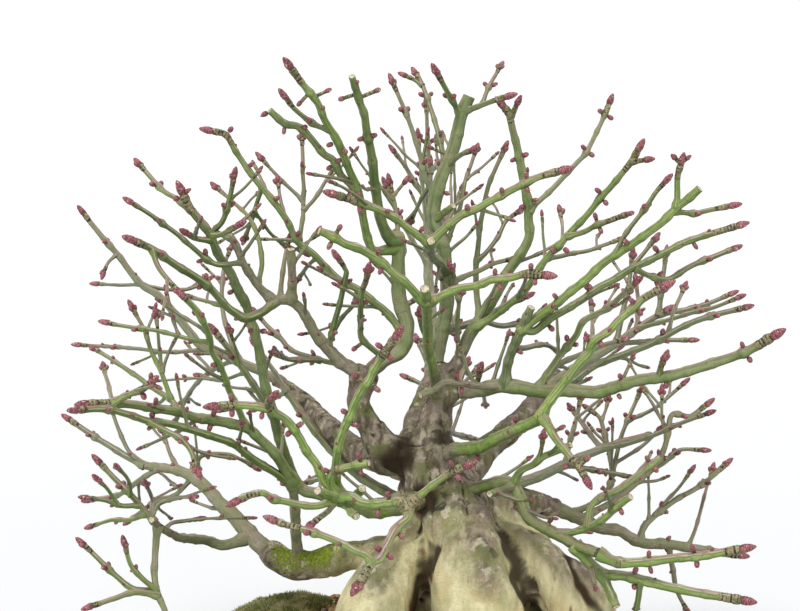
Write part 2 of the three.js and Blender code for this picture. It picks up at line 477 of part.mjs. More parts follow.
      [292, 488, 277, 474, 262, 465, 245, 453, 232, 443, 211, 436, 190, 429, 169, 423, 148, 421, 127, 414,
        106, 409, 78, 410], []],
    ['sweep_low_drop', 'sweep_low', 0.85, 0.75, -8, 'bud',
      [146, 421, 165, 430, 180, 438, 190, 449, 197, 468], []],
    ['tall_left', 'sweep', 1.21, 1, -24, 'bud',
      [244, 428, 238, 408, 229, 390, 224, 376, 218, 363, 211, 351, 210, 339, 204, 324, 196, 310, 187, 300,
        179, 292], []],
    ['tall_left_side', 'tall_left', 0.7, 0.6, 10, 'bud',
      [210, 341, 190, 339, 162, 332, 133, 328, 108, 323], []],
    ['sweep_far_up', 'sweep', 0.75, 0.6, 16, 'tip', [112, 403, 109, 388, 104, 368], []],
    ['sweep_far', 'sweep', 0.9, 0.6, 30, 'tip', [176, 411, 171, 400, 143, 381, 119, 364, 95, 349], []],
    ['sweep_far_rise', 'sweep_far', 0.8, 0.6, 10, 'tip',
      [170, 399, 162, 373, 152, 352, 144, 330, 133, 309], []],
    ['sweep_far_fork', 'sweep_far_rise', 0.65, 0.55, 4, 'tip', [163, 372, 159, 341, 156, 316], []],
  ] },
  spray_left_middle: { seat: 10, stems: [
    ['middle_arm', 'trunk', 2.2, 1.21, -28, 'bud',
      [395, 507, 372, 506, 345, 500, 318, 494, 300, 488, 288, 465, 280, 440, 272, 410, 265, 385, 260, 356,
        256, 338, 250, 318, 245, 302, 238, 289, 232, 275, 218, 254, 211, 236, 201, 222, 190, 208, 183, 194],
      [176, 199, 189, 190, 231, 292, 245, 288, 252, 329, 264, 331]],
    ['middle_twig_left', 'middle_arm', 0.9, 0.85, -6, 'bud', [209, 242, 198, 239, 188, 234], []],
    ['middle_twig_right', 'middle_arm', 0.9, 0.85, -6, 'bud',
      [211, 238, 220, 235, 228, 231, 237, 226], []],
    ['middle_far', 'middle_arm', 0.9, 0.7, 16, 'bud',
      [192, 211, 183, 205, 176, 198, 162, 189, 140, 165], []],
    ['middle_side', 'middle_arm', 1.14, 1, 10, 'bud',
      [273, 415, 260, 395, 250, 380, 240, 365, 231, 352, 216, 333], []],
    ['middle_far_low', 'middle_side', 0.7, 0.6, 14, 'tip', [245, 373, 222, 380, 200, 376], []],
    ['middle_small', 'middle_side', 0.6, 0.5, -4, 'tip', [240, 365, 236, 350, 230, 331], []],
  ] },
  spray_front: { seat: 10, stems: [
    ['hub_arm', 'trunk', 2.8, 2.4, -66, 'cut', [412, 512, 385, 510, 360, 506, 337, 497], []],
    ['hub_stub_left', 'hub_arm', 1.33, 1.33, -8, 'cut', [338, 498, 326, 494, 318, 491], []],
    ['hub_stub_right', 'hub_arm', 1.33, 1.27, -10, 'cut', [350, 502, 357, 494, 362, 489], []],
    ['hub_stub_low', 'hub_arm', 1.27, 1.21, -10, 'cut', [344, 500, 350, 510, 356, 516], []],
    ['hub_shoot', 'hub_arm', 1.21, 1.08, -8, 'cut',
      [338, 497, 331, 482, 334, 472, 344, 468, 359, 465, 368, 463], [359, 455, 361, 473, 325, 470]],
    ['hub_tall', 'hub_arm', 1.39, 1.14, -10, 'bud',
      [342, 499, 336, 480, 336, 462, 338, 450, 342, 433, 348, 419, 356, 401, 363, 388, 369, 380, 374, 369,
        380, 359, 388, 348, 395, 338],
      [345, 412, 355, 425, 355, 375, 378, 390, 378, 345, 391, 358]],
    ['hub_long', 'hub_arm', 1.45, 1.08, -8, 'bud',
      [338, 498, 332, 489, 324, 481, 317, 465, 307, 451, 299, 436, 288, 421, 274, 412, 260, 407, 245, 405,
        232, 405, 218, 406],
      [290, 432, 301, 424, 262, 415, 232, 414, 231, 396]],
    ['hub_long_twig', 'hub_long', 0.9, 0.85, -4, 'bud', [274, 411, 267, 405, 272, 398], []],
    ['hub_left', 'hub_arm', 1.21, 1, -6, 'bud',
      [338, 498, 324, 504, 310, 506, 288, 502, 274, 499, 263, 493, 250, 495, 239, 500], []],
    ['hub_short', 'hub_arm', 0.9, 0.8, -4, 'bud', [338, 499, 330, 509, 320, 517, 312, 524], []],
    ['hub_right', 'hub_arm', 1.39, 1.27, -14, 'cut',
      [340, 498, 352, 497, 363, 503, 374, 505, 387, 503, 398, 502, 409, 506], [378, 512, 388, 494]],
    ['hub_right_up', 'hub_right', 1.14, 0.95, -6, 'bud',
      [407, 506, 416, 499, 428, 489, 442, 478, 454, 471, 464, 467], [451, 463, 458, 477]],
    ['hub_right_down', 'hub_right', 1.27, 1.08, -18, 'bud',
      [406, 505, 408, 517, 400, 525, 393, 534, 387, 545, 380, 558, 372, 563, 365, 575, 359, 584],
      [401, 536, 377, 548, 390, 557]],
    ['hub_right_low', 'hub_right_down', 1.08, 0.9, 5, 'bud',
      [372, 563, 366, 555, 356, 551, 338, 542, 321, 535, 299, 528, 287, 525, 276, 521], []],
  ] },
  spray_back_left: { seat: 6, stems: [
    ['far_arm', 'back_left_limb', 1.94, 0.9, 14, 'bud',
      [285, 385, 262, 372, 240, 362, 218, 352, 200, 345, 190, 332, 175, 314, 158, 295, 141, 284, 117, 254,
        95, 228, 84, 214], []],
    ['far_out', 'far_arm', 0.75, 0.6, 4, 'tip', [141, 285, 120, 285, 98, 284], []],
    ['far_in', 'far_arm', 0.75, 0.6, 10, 'tip', [144, 285, 156, 288, 175, 290, 192, 288, 207, 280], []],
    ['far_flat', 'far_arm', 0.85, 0.6, 6, 'bud',
      [209, 349, 190, 351, 167, 352, 135, 348, 95, 346, 80, 345], []],
    ['far_small', 'far_arm', 0.65, 0.55, -6, 'tip', [117, 254, 108, 262, 104, 272], []],
    ['far_rear', 'far_arm', 1, 0.7, 34, 'bud', [240, 362, 228, 330, 222, 300, 224, 268, 230, 250], []],
    ['far_rear_low', 'far_arm', 1, 0.7, 36, 'bud', [232, 358, 210, 372, 190, 392, 176, 420], []],
  ] },
};

// Routes that the view doesn't show, behind the crown, which grow by the rule below.
// Each row: node, parent, seed, height of the root on the trunk, azimuth and rise in degrees, length, twigs.
const HIDDEN_SPRAYS = [
  ['spray_back', 'back_limb', 23, 0, 98, 52, 74, 8],
  ['spray_back_right', 'back_right_limb', 37, 0, 30, 30, 56, 7],
  ['spray_back_low_left', 'trunk', 41, 80, 146, 12, 88, 6],
  ['spray_back_low_right', 'trunk', 53, 86, 44, 14, 88, 6],
  ['spray_back_low', 'trunk', 67, 92, 97, 20, 80, 6],
];
const HIDDEN_SEAT = 19;
const HIDDEN_ARM_RADIUS = 2.2;
const HIDDEN_TIP_RADIUS = 1.1;
const HIDDEN_TWIG_RADIUS = 1.0;
const HIDDEN_TWIG_LENGTH = [20, 40];
const TWIG_TRIES = 10;

// How finely stems are followed when they are placed, and how they are kept apart
const SAMPLES_PER_SPAN = 4;
const PUSH_ROUNDS = 60;
const PUSH_REACH = 3;
const SAME_SPRAY_CLEARANCE = 0.5;
const SHARED_ROOT = 7;

// Where a point in space shows in the measured view, in pixels
function toView(point) {
  const back = new THREE.Vector3(0, -Math.cos(VIEW_PITCH), Math.sin(VIEW_PITCH));
  const up = new THREE.Vector3(0, Math.sin(VIEW_PITCH), Math.cos(VIEW_PITCH));
  const offset = point.clone().sub(VIEW_TARGET);
  const scale = VIEW_FOCAL_PX / (VIEW_DISTANCE - offset.dot(back));
  return [VIEW_CENTRE_PX[0] + offset.x * scale, VIEW_CENTRE_PX[1] - offset.dot(up) * scale];
}

function pairs(numbers) {
  const found = [];
  for (let i = 0; i < numbers.length; i += 2) found.push([numbers[i], numbers[i + 1]]);
  return found;
}

// Samples of a stem along its curve, each with its distance from the root and its radius
function follow(stem, control) {
  const curve = new THREE.CatmullRomCurve3(control, false, 'catmullrom', 0.5);
  const count = SAMPLES_PER_SPAN * (control.length - 1);
  stem.points = [];
  stem.distances = [];
  for (let i = 0; i <= count; i += 1) {
    const point = curve.getPoint(i / count);
    stem.points.push(point);
    stem.distances.push(i === 0 ? 0 : stem.distances[i - 1] + point.distanceTo(stem.points[i - 1]));
  }
  stem.length = stem.distances[count];
  stem.radii = stem.distances.map((distance) => (
    stem.rootRadius + (stem.tipRadius - stem.rootRadius) * distance / stem.length
  ));
  stem.box = new THREE.Box3().setFromPoints(stem.points).expandByScalar(stem.rootRadius + TWIG_CLEARANCE);
}

// The sample of a stem that shows nearest to a pixel of the view
function nearestInView(stem, px, py) {
  let best = 0;
  let least = Infinity;
  stem.points.forEach((point, i) => {
    const [x, y] = toView(point);
    const away = (x - px) ** 2 + (y - py) ** 2;
    if (away < least) {
      least = away;
      best = i;
    }
  });
  return best;
}

// A measured stem in space: its root on its parent's line, and the rest at its lean from there
function place(stem, stems) {
  if (stem.fixed) return;
  const parent = stems.get(stem.parent);
  const [rootX, rootY] = stem.route[0];
  const root = parent.points[nearestInView(parent, rootX, rootY)];
  let travelled = 0;
  const reached = stem.route.map(([px, py], i) => {
    if (i > 0) travelled += Math.hypot(px - stem.route[i - 1][0], py - stem.route[i - 1][1]);
    return travelled;
  });
  const control = stem.route.map(([px, py], i) => (
    i === 0 ? root.clone() : fromView(px, py, root.y + stem.lean * reached[i] / travelled + stem.push[i])
  ));
  follow(stem, control);
}

// The closest pass of two stems, apart from where they share a root: their free gap and the samples
function closestPass(a, b, clearance) {
  const pass = { gap: clearance, i: -1, j: -1 };
  const related = a.parent === b.name || b.parent === a.name || a.parent === b.parent;
  const skipA = related && b.parent !== a.name ? a.seat + SHARED_ROOT : 0;
  const skipB = related && a.parent !== b.name ? b.seat + SHARED_ROOT : 0;
  for (let i = 0; i < a.points.length; i += 1) {
    if (a.distances[i] < skipA || !b.box.containsPoint(a.points[i])) continue;
    for (let j = 0; j < b.points.length; j += 1) {
      if (b.distances[j] < skipB) continue;
      const gap = a.points[i].distanceTo(b.points[j]) - a.radii[i] - b.radii[j];
      if (gap < pass.gap) {
        pass.gap = gap;
        pass.i = i;
        pass.j = j;
      }
    }
  }
  return pass;
}

// Moves the part of a stem round one sample nearer to the eye or further from it
function push(stem, sample, amount) {
  const middle = sample / SAMPLES_PER_SPAN;
  for (let i = 1; i < stem.push.length; i += 1) {
    stem.push[i] += amount * Math.max(0, 1 - Math.abs(i - middle) / PUSH_REACH);
  }
}

// Bends stems clear of each other along the line of sight, which keeps them where the view shows them
function bendClear(stems) {
  const list = [...stems.values()];
  for (let round = 0; round < PUSH_ROUNDS; round += 1) {
    let moved = 0;
    for (let m = 0; m < list.length; m += 1) {
      for (let n = m + 1; n < list.length; n += 1) {
        const [a, b] = [list[m], list[n]];
        if ((a.fixed && b.fixed) || !a.box.intersectsBox(b.box)) continue;
        const clearance = a.node === b.node ? SAME_SPRAY_CLEARANCE : TWIG_CLEARANCE;
        const pass = closestPass(a, b, clearance);
        if (pass.i < 0) continue;
        const amount = (clearance - pass.gap) * 0.6 + 0.1;
        const towards = a.points[pass.i].y < b.points[pass.j].y ? -1 : 1;
        if (!a.fixed) push(a, pass.i, towards * amount * (b.fixed ? 1.6 : 1));
        if (!b.fixed) push(b, pass.j, -towards * amount * (a.fixed ? 1.6 : 1));
        moved += 1;
      }
    }
    list.forEach((stem) => place(stem, stems));
    if (moved === 0) break;
  }
}

function stemFromRow([name, parent, rootRadius, tipRadius, lean, end, route, buds], node, seat, fixed) {
  const pixels = pairs(route);
  return {
    name, parent, rootRadius, tipRadius, lean, end, node, seat, route: pixels, buds: pairs(buds),
    push: pixels.map(() => 0), fixed,
  };
}

// All measured stems by name, the trunk and limbs first
function measuredStems() {
  const stems = new Map();
  const trunk = {
    name: 'trunk', node: 'trunk_and_limbs', parent: '', seat: 0, fixed: true, end: 'cut', buds: [],
    rootRadius: TRUNK_BASE_RADIUS, tipRadius: TRUNK_FORK_RADIUS,
  };
  follow(trunk, TRUNK_POINTS);
  trunk.radii = trunk.points.map((point, i) => {
    const step = Math.min(Math.floor(i / SAMPLES_PER_SPAN), TRUNK_LINE.length - 2);
    const part = i / SAMPLES_PER_SPAN - step;
    return TRUNK_LINE[step].radius * (1 - part) + TRUNK_LINE[step + 1].radius * part;
  });
  stems.set('trunk', trunk);
  LIMBS.forEach((row) => {
    const limb = stemFromRow(row, 'trunk_and_limbs', 0, false);
    place(limb, stems);
    limb.fixed = true;
    stems.set(limb.name, limb);
  });
  Object.entries(SPRAYS).forEach(([node, { seat, stems: rows }]) => {
    rows.forEach((row, i) => {
      const stem = stemFromRow(row, node, i === 0 ? seat : 0, false);
      place(stem, stems);
      stems.set(stem.name, stem);
    });
  });
  bendClear(stems);
  stems.forEach((stem) => {
    stem.fixed = true;
  });
  return stems;
}

// Whether a new stem passes clear of all others but its parent
function passesClear(stem, stems) {
  return [...stems.values()].every((other) => {
    if (other.name === stem.parent || !stem.box.intersectsBox(other.box)) return true;
    return closestPass(stem, other, TWIG_CLEARANCE).i < 0;
  });
}

// A direction in space from its azimuth and rise in degrees
function heading(azimuth, rise) {
  const [a, r] = [THREE.MathUtils.degToRad(azimuth), THREE.MathUtils.degToRad(rise)];
  return new THREE.Vector3(Math.cos(a) * Math.cos(r), Math.sin(a) * Math.cos(r), Math.sin(r));
}

// A stem that grows by rule from a root point, straight off and then bending upwards
function grownStem(base, root, azimuth, rise, length, between) {
  const control = [root.clone()];
  const spans = Math.max(3, Math.round(length / 10));
  let turn = azimuth;
  let lift = rise;
  for (let i = 0; i < spans; i += 1) {
    turn += between(-9, 9);
    lift += between(-5, 9);
    control.push(control[i].clone().addScaledVector(heading(turn, Math.min(lift, 80)), length / spans));
  }
  const stem = { ...base, seat: base.seat || 0, fixed: true, end: 'bud', buds: [] };
  follow(stem, control);
  return stem;
}

// The sprays behind the crown: an arm each, with twigs in pairs that turn a quarter from pair to pair
function growHiddenSprays(stems) {
  HIDDEN_SPRAYS.forEach(([node, parentName, seed, height, azimuth, rise, length, twigs]) => {
    const between = makeRandomBetween(seed);
    const parent = stems.get(parentName);
    const start = parentName === 'trunk'
      ? parent.points.findIndex((point) => point.z > height)
      : parent.points.length - 3;
    const seat = parentName === 'trunk' ? HIDDEN_SEAT : 6;
    const base = { name: `${node}_arm`, node, parent: parentName, seat };
    const radii = { rootRadius: HIDDEN_ARM_RADIUS, tipRadius: HIDDEN_TIP_RADIUS };
    const arm = grownStem({ ...base, ...radii }, parent.points[start], azimuth, rise, length, between);
    stems.set(arm.name, arm);
    for (let i = 0; i < twigs; i += 1) {
      const fraction = 0.96 - 0.62 * Math.floor(i / 2) / (twigs / 2);
      const sample = Math.round(fraction * (arm.points.length - 1));
      const root = arm.points[sample];
      if (arm.distances[sample] < seat + 4) continue;
      for (let attempt = 0; attempt < TWIG_TRIES; attempt += 1) {
        const side = (i % 2 === 0 ? 1 : -1) * between(32, 66);
        const upright = Math.floor(i / 2) % 2 === 0;
        const turn = upright ? azimuth + side * 0.4 : azimuth + side;
        const lift = upright ? rise + side * 0.8 : rise + between(-10, 16);
        const reach = between(...HIDDEN_TWIG_LENGTH);
        const twig = grownStem({
          name: `${node}_twig_${i}`, node, parent: arm.name,
          rootRadius: HIDDEN_TWIG_RADIUS, tipRadius: HIDDEN_TWIG_RADIUS * 0.75,
        }, root, turn, lift, reach, between);
        if (passesClear(twig, stems)) {
          stems.set(twig.name, twig);
          break;
        }
      }
    }
  });
}

// The point, direction and radius of a stem at a distance from its root
function along(stem, distance) {
  const last = stem.points.length - 1;
  let i = 1;
  while (i < last && stem.distances[i] < distance) i += 1;
  const [low, high] = [stem.distances[i - 1], stem.distances[i]];
  const part = THREE.MathUtils.clamp((distance - low) / (high - low), 0, 1);
  return {
    point: stem.points[i - 1].clone().lerp(stem.points[i], part),
    direction: stem.points[i].clone().sub(stem.points[i - 1]).normalize(),
    radius: stem.radii[i - 1] * (1 - part) + stem.radii[i] * part,
  };
}

// The bud on a twig's tip is stouter on a stouter twig
function tipBudSize(stem) {
  const radius = 0.65 + 0.55 * stem.tipRadius;
  return { radius, length: radius * TIP_BUD_SLENDERNESS };
}

// The solid of a stretch of a stem
function stemSolid(stem, from, to, extra = 0) {
  const thick = stem.rootRadius > THICK_RADIUS;
  const steps = Math.max(2, Math.ceil((to - from) / (thick ? THICK_STEP : THIN_STEP)));
  const points = [];
  const radii = [];
  for (let i = 0; i <= steps; i += 1) {
    const { point, radius } = along(stem, from + (to - from) * i / steps);
    points.push(point);
    radii.push(radius + extra);
  }
  if (stem.tipBud && to === stem.length) {
    const { point, direction } = along(stem, stem.length);
    const tipBud = tipBudSize(stem);
    points.push(point.clone().addScaledVector(direction, tipBud.length * 0.45));
    points.push(point.clone().addScaledVector(direction, tipBud.length));
    radii.push(tipBud.radius, 0);
  }
  if (stem.rootRadius > LIMB_RADIUS) return tube(points, radii, LIMB_SIDES, extra);
  return tube(points, radii, stem.rootRadius > THIN_RADIUS ? TWIG_SIDES : THIN_SIDES, extra);
}

// Whether a bud is clear of the stems and buds of every other spray
function budIsClear(candidate, stems, placed) {
  const spots = [0.35, 0.7, 1].map((part) => candidate.foot.clone().lerp(candidate.tip, part));
  const meets = (point, radius) => spots.some((spot) => (
    spot.distanceTo(point) < radius + candidate.radius + TWIG_CLEARANCE / 2
  ));
  const reach = new THREE.Box3().setFromPoints(spots).expandByScalar(TWIG_CLEARANCE);
  const stemsClear = [...stems.values()].every((stem) => (
    stem.node === candidate.node || !stem.box.intersectsBox(reach)
      || !stem.points.some((point, i) => meets(point, stem.radii[i]))
  ));
  return stemsClear && !placed.some((other) => (
    other.node !== candidate.node && meets(other.foot.clone().lerp(other.tip, 0.7), other.radius)
  ));
}

// The buds that the view shows, then pairs at even spaces on the other twigs, and one on each live tip
function allBuds(stems) {
  const placed = [];
  const offer = (candidate) => {
    if (budIsClear(candidate, stems, placed)) placed.push(candidate);
  };
  stems.forEach((stem) => {
    stem.buds.forEach(([px, py]) => {
      const sample = nearestInView(stem, px, py);
      const foot = stem.points[sample];
      const seen = fromView(px, py, foot.y - BUD_RADIUS);
      const out = seen.clone().sub(foot).normalize();
      const reach = Math.max(seen.distanceTo(foot) + 1, stem.radii[sample] + 2.4);
      const tip = foot.clone().addScaledVector(out, reach);
      offer({ node: stem.node, foot, tip, radius: BUD_RADIUS });
    });
    if (stem.end !== 'cut') {
      const { point, direction } = along(stem, stem.length);
      const tipBud = tipBudSize(stem);
      const tip = point.clone().addScaledVector(direction, tipBud.length);
      stem.tipBud = budIsClear({ node: stem.node, foot: point, tip, radius: tipBud.radius }, stems, placed);
    }
    if (stem.end !== 'bud' || stem.buds.length > 0) return;
    let pair = 0;
    const hidden = stem.node.startsWith('spray_back');
    const spacing = hidden ? HIDDEN_BUD_SPACING : BUD_SPACING;
    for (let distance = stem.length - spacing * 0.6; distance > stem.seat + 6; distance -= spacing) {
      if (pair === (hidden ? HIDDEN_BUD_PAIRS : BUD_PAIRS)) break;
      const { point, direction, radius } = along(stem, distance);
      const level = new THREE.Vector3(0, 0, 1).cross(direction).normalize();
      const across = pair % 2 === 0 ? level : level.clone().cross(direction);
      [1, -1].forEach((side) => {
        const out = across.clone().multiplyScalar(side).addScaledVector(direction, 0.9).normalize();
        const tip = point.clone().addScaledVector(out, BUD_LENGTH + radius * 0.6);
        offer({ node: stem.node, foot: point, tip, radius: BUD_RADIUS });
      });
      pair += 1;
    }
  });
  return placed;
}

// The lobes of the root flare: heading in degrees, spread, height of the top and girth
const ROOT_LOBES = [
  { azimuth: 204, spread: 45, top: 82, girth: 13 },
  { azimuth: 273, spread: 27, top: 97, girth: 16 },
  { azimuth: 330, spread: 47, top: 85, girth: 11.5 },
  { azimuth: 12, spread: 40, top: 78, girth: 10 },
  { azimuth: 50, spread: 37, top: 86, girth: 12 },
  { azimuth: 92, spread: 34, top: 88, girth: 12 },
  { azimuth: 132, spread: 37, top: 84, girth: 12 },
  { azimuth: 170, spread: 38, top: 78, girth: 10 },
];

// How each lobe runs: shares of its spread, of its fall and of its girth
const LOBE_RUN = [
  { out: 0.12, fall: 0, thick: 0.35 },
  { out: 0.42, fall: 0.12, thick: 0.72 },
  { out: 0.66, fall: 0.3, thick: 0.97 },
  { out: 0.81, fall: 0.5, thick: 1.05 },
  { out: 0.91, fall: 0.7, thick: 1 },
  { out: 0.98, fall: 0.87, thick: 0.75 },
  { out: 1.02, fall: 1, thick: 0.4 },
];

// A lobe of the root flare, from high on the trunk down into the soil
function rootLobe({ azimuth, spread, top, girth }, extra) {
  const line = LOBE_RUN.map(({ out, fall }) => {
    const height = top + (ROOT_DEPTH - top) * fall;
    const rise = (height - FLARE_FOOT) / FLARE_RISE;
    const axis = new THREE.Vector3(FLARE_X - FLARE_LEAN * rise ** 2, FLARE_BACK * (1 - rise), height);
    const sway = ROOT_SWAY * Math.sin(height * ROOT_WAVE + azimuth);
    return heading(azimuth + sway, 0).multiplyScalar(spread * out).add(axis);
  });
  return tube(line, LOBE_RUN.map(({ thick }) => girth * thick + extra), ROOT_SIDES, extra);
}

// The trunk with its root flare
function trunkSolid(extra) {
  const radii = TRUNK_LINE.map(({ radius }) => radius * CORE_SHARE + extra);
  const lobes = ROOT_LOBES.map((lobe) => rootLobe(lobe, extra));
  return fuse([tube(TRUNK_POINTS, radii, TRUNK_SIDES, extra), ...lobes]);
}

// The trunk with its limbs and the seats of the sprays
function woodSolid(stems, extra) {
  const pieces = [trunkSolid(extra)];
  stems.forEach((stem) => {
    if (stem.name === 'trunk') return;
    if (stem.node === 'trunk_and_limbs') pieces.push(stemSolid(stem, 0, stem.length, extra));
    else if (stem.seat > 0) pieces.push(stemSolid(stem, 0, stem.seat + extra, extra));
  });
  return largest(fuse(pieces));
}

// A spray: its stems and buds in one body, clear of the wood it grows from
function spraySolid(node, stems, buds, woodWithGap) {
  const pieces = [];
  stems.forEach((stem) => {
    if (stem.node !== node) return;
    const from = stem.seat > 0 ? stem.seat + GAP : 0;
    pieces.push(stemSolid(stem, from, stem.length));
  });
  buds.filter((item) => item.node === node).forEach(({ foot, tip, radius }) => {
    pieces.push(bud(foot, tip, radius));
  });
  return largest(fuse(pieces).subtract(woodWithGap));
}

// An oval turned solid: a profile of [half length, height] points from the axis back to the axis
function ovalSolid(profile, segments) {
  const geometry = new THREE.LatheGeometry(profile.map(([x, y]) => new THREE.Vector2(x, y)), segments);
  geometry.rotateX(Math.PI / 2);
  geometry.scale(1, POT_DEPTH / POT_LENGTH, 1);
  return solidOf(geometry);
}

function cylinderAt(x, y, low, high, radius, sides) {
  const geometry = new THREE.CylinderGeometry(radius, radius, high - low, sides);
  geometry.rotateX(Math.PI / 2);
  geometry.translate(x, y, (low + high) / 2);
  return solidOf(geometry);
}

function boxAt(x, y, low, high, length, depth) {
  const geometry = new THREE.BoxGeometry(length, depth, high - low);
  geometry.translate(x, y, (low + high) / 2);
  return solidOf(geometry);
}

const FLOOR_TOP = FOOT_HEIGHT + POT_FLOOR;
const RIM = POT_LENGTH / 2;
const BELLY = RIM - LIP_WIDTH;
const LIP_FOOT = POT_HEIGHT - LIP_HEIGHT;
const INNER_TOP = BELLY - POT_WALL;
const INNER_SIDE = INNER_TOP - 3;
const INNER_FLOOR = INNER_TOP - 15;
const INNER_BEND = INNER_FLOOR + 4;
const SIDE_HEIGHT = FLOOR_TOP + 10;
const BEND_HEIGHT = FLOOR_TOP + 3;
const DRAIN_PLACES = [-DRAIN_SPACING / 2, DRAIN_SPACING / 2];

// The pot's section: up its outside, over the rim and down its inside, as half length and height
const POT_PROFILE = [
  [0, FOOT_HEIGHT],
  [BELLY - 18, FOOT_HEIGHT],
  [BELLY - 13, FOOT_HEIGHT + 2],
  [BELLY - 6, FOOT_HEIGHT + 10],
  [BELLY - 2, FOOT_HEIGHT + 19],
  [BELLY - 1.5, LIP_FOOT],
  [RIM - 0.6, LIP_FOOT + 1.4],
  [RIM, LIP_FOOT + 3],
  [RIM, POT_HEIGHT - 1.2],
  [RIM - 1, POT_HEIGHT],
  [INNER_TOP + 0.8, POT_HEIGHT],
  [INNER_TOP, POT_HEIGHT - 0.8],
  [INNER_SIDE, SIDE_HEIGHT],
  [INNER_BEND, BEND_HEIGHT],
  [INNER_FLOOR, FLOOR_TOP],
  [0, FLOOR_TOP],
];

// The pot: a bellied oval with a lip, four feet and two drain holes
function potSolid() {
  const feet = [[1, 1], [1, -1], [-1, 1], [-1, -1]].map(([sideX, sideY]) => {
    const height = FOOT_HEIGHT + 2;
    const foot = new THREE.CylinderGeometry(1, 0.84, height, FOOT_SIDES);
    foot.rotateX(Math.PI / 2);
    foot.scale(FOOT_LENGTH / 2, FOOT_DEPTH / 2, 1);
    foot.rotateZ(-sideX * sideY * FOOT_TURN);
    foot.translate(sideX * FOOT_PLACE[0], sideY * FOOT_PLACE[1], height / 2);
    return solidOf(foot);
  });
  const drains = DRAIN_PLACES.map((x) => cylinderAt(x, 0, 0, FLOOR_TOP + 5, DRAIN_RADIUS, DRAIN_SIDES));
  return fuse([ovalSolid(POT_PROFILE, POT_SEGMENTS), ...feet]).subtract(fuse(drains));
}

// The clearance from the pot's wall, wider along the oval so that it holds across it
const WALL_GAP = GAP * 1.4;
const SOIL_RIM = INNER_TOP - 0.5 - WALL_GAP;

// The height of the soil's mound at a share of the way in from its rim
function moundHeight(part) {
  return SOIL_EDGE + (SOIL_CROWN - SOIL_EDGE) * Math.sin(part * Math.PI / 2) ** MOUND_FULLNESS;
}

// The soil fills the pot to a mound, with room below for the screens and their clips
function soilSolid(raise) {
  const profile = [
    [0, FLOOR_TOP + GAP],
    [INNER_FLOOR - 2 * GAP, FLOOR_TOP + GAP],
    [INNER_BEND - 2 * GAP, BEND_HEIGHT + GAP],
    [INNER_SIDE - WALL_GAP, SIDE_HEIGHT],
    [SOIL_RIM - 0.3, SOIL_EDGE + raise],
  ];
  for (let i = 1; i < SOIL_RINGS; i += 1) {
    const part = i / SOIL_RINGS;
    profile.push([SOIL_RIM * (1 - part), moundHeight(part) + raise]);
  }
  profile.push([0, SOIL_CROWN + raise]);
  return ovalSolid(profile, POT_SEGMENTS);
}

const SCREEN_TOP = FLOOR_TOP + GAP + SCREEN_THICKNESS;
const SLOT_PITCH = (SCREEN_SIDE - SCREEN_BAR) / SCREEN_SLOTS;

// A square plate with a row of slots
function screenSolid(x) {
  const plate = boxAt(x, 0, FLOOR_TOP + GAP, SCREEN_TOP, SCREEN_SIDE, SCREEN_SIDE);
  const slots = [];
  for (let i = 0; i < SCREEN_SLOTS; i += 1) {
    const offset = (i - (SCREEN_SLOTS - 1) / 2) * SLOT_PITCH;
    slots.push(boxAt(x + offset, 0, 0, POT_HEIGHT, SLOT_PITCH - SCREEN_BAR, SCREEN_SIDE - 2 * SCREEN_BAR));
  }
  return plate.subtract(fuse(slots));
}

// A wire staple over the screen, its legs down through the drain hole and bent out under the pot
function clipSolid(x) {
  const high = SCREEN_TOP + GAP + CLIP_WIRE;
  const low = FOOT_HEIGHT - GAP - CLIP_WIRE;
  const half = [
    [0, high],
    [SLOT_PITCH - 1.6, high],
    [SLOT_PITCH - 0.4, high - 0.5],
    [SLOT_PITCH, high - 1.8],
    [SLOT_PITCH, low + 2],
    [SLOT_PITCH + 0.6, low + 0.6],
    [SLOT_PITCH + 2, low],
    [DRAIN_RADIUS + 6, low],
  ];
  const whole = [...half.slice(1).reverse().map(([out, z]) => [-out, z]), ...half];
  const line = whole.map(([out, z]) => new THREE.Vector3(x + out, 0, z));
  return tube(line, line.map(() => CLIP_WIRE), WIRE_SIDES);
}

// Moss cushions on the soil: place, size and height of each
const MOSS = [
  { at: [-55, -14], size: [17, 12], height: 5 },
  { at: [-36, -37], size: [14, 9], height: 4.5 },
  { at: [34, -38], size: [16, 9], height: 5 },
  { at: [6, 43], size: [19, 9], height: 4.5 },
  { at: [-50, 19], size: [22, 14], height: 7 },
];
const MOSS_SIDES = 10;
const MOSS_BANDS = 6;
const MOSS_ROOT = 3;

function mossSolid({ at, size, height }, raisedSoil, woodWithGap) {
  const cushion = new THREE.SphereGeometry(1, MOSS_SIDES, MOSS_BANDS);
  cushion.rotateX(Math.PI / 2);
  cushion.scale(size[0], size[1], height + MOSS_ROOT);
  const out = Math.hypot(at[0], at[1] * POT_LENGTH / POT_DEPTH) / INNER_TOP;
  cushion.translate(at[0], at[1], moundHeight(1 - out) - MOSS_ROOT);
  return largest(solidOf(cushion).subtract(raisedSoil).subtract(woodWithGap));
}

// The finishes
const MATERIALS = {
  bark: new THREE.MeshStandardMaterial({ color: 0x8f8372, roughness: 0.92, metalness: 0 }),
  green_wood: new THREE.MeshStandardMaterial({ color: 0x6f8a48, roughness: 0.62, metalness: 0 }),
  soil: new THREE.MeshStandardMaterial({ color: 0x8a6a4a, roughness: 1, metalness: 0 }),
  moss: new THREE.MeshStandardMaterial({ color: 0x7f9134, roughness: 1, metalness: 0 }),
  stoneware: new THREE.MeshStandardMaterial({ color: 0x6d5547, roughness: 0.78, metalness: 0 }),
  screen_plastic: new THREE.MeshStandardMaterial({ color: 0x24302a, roughness: 0.6, metalness: 0 }),
  clip_wire: new THREE.MeshStandardMaterial({ color: 0x8d6b4e, roughness: 0.45, metalness: 1 }),
};

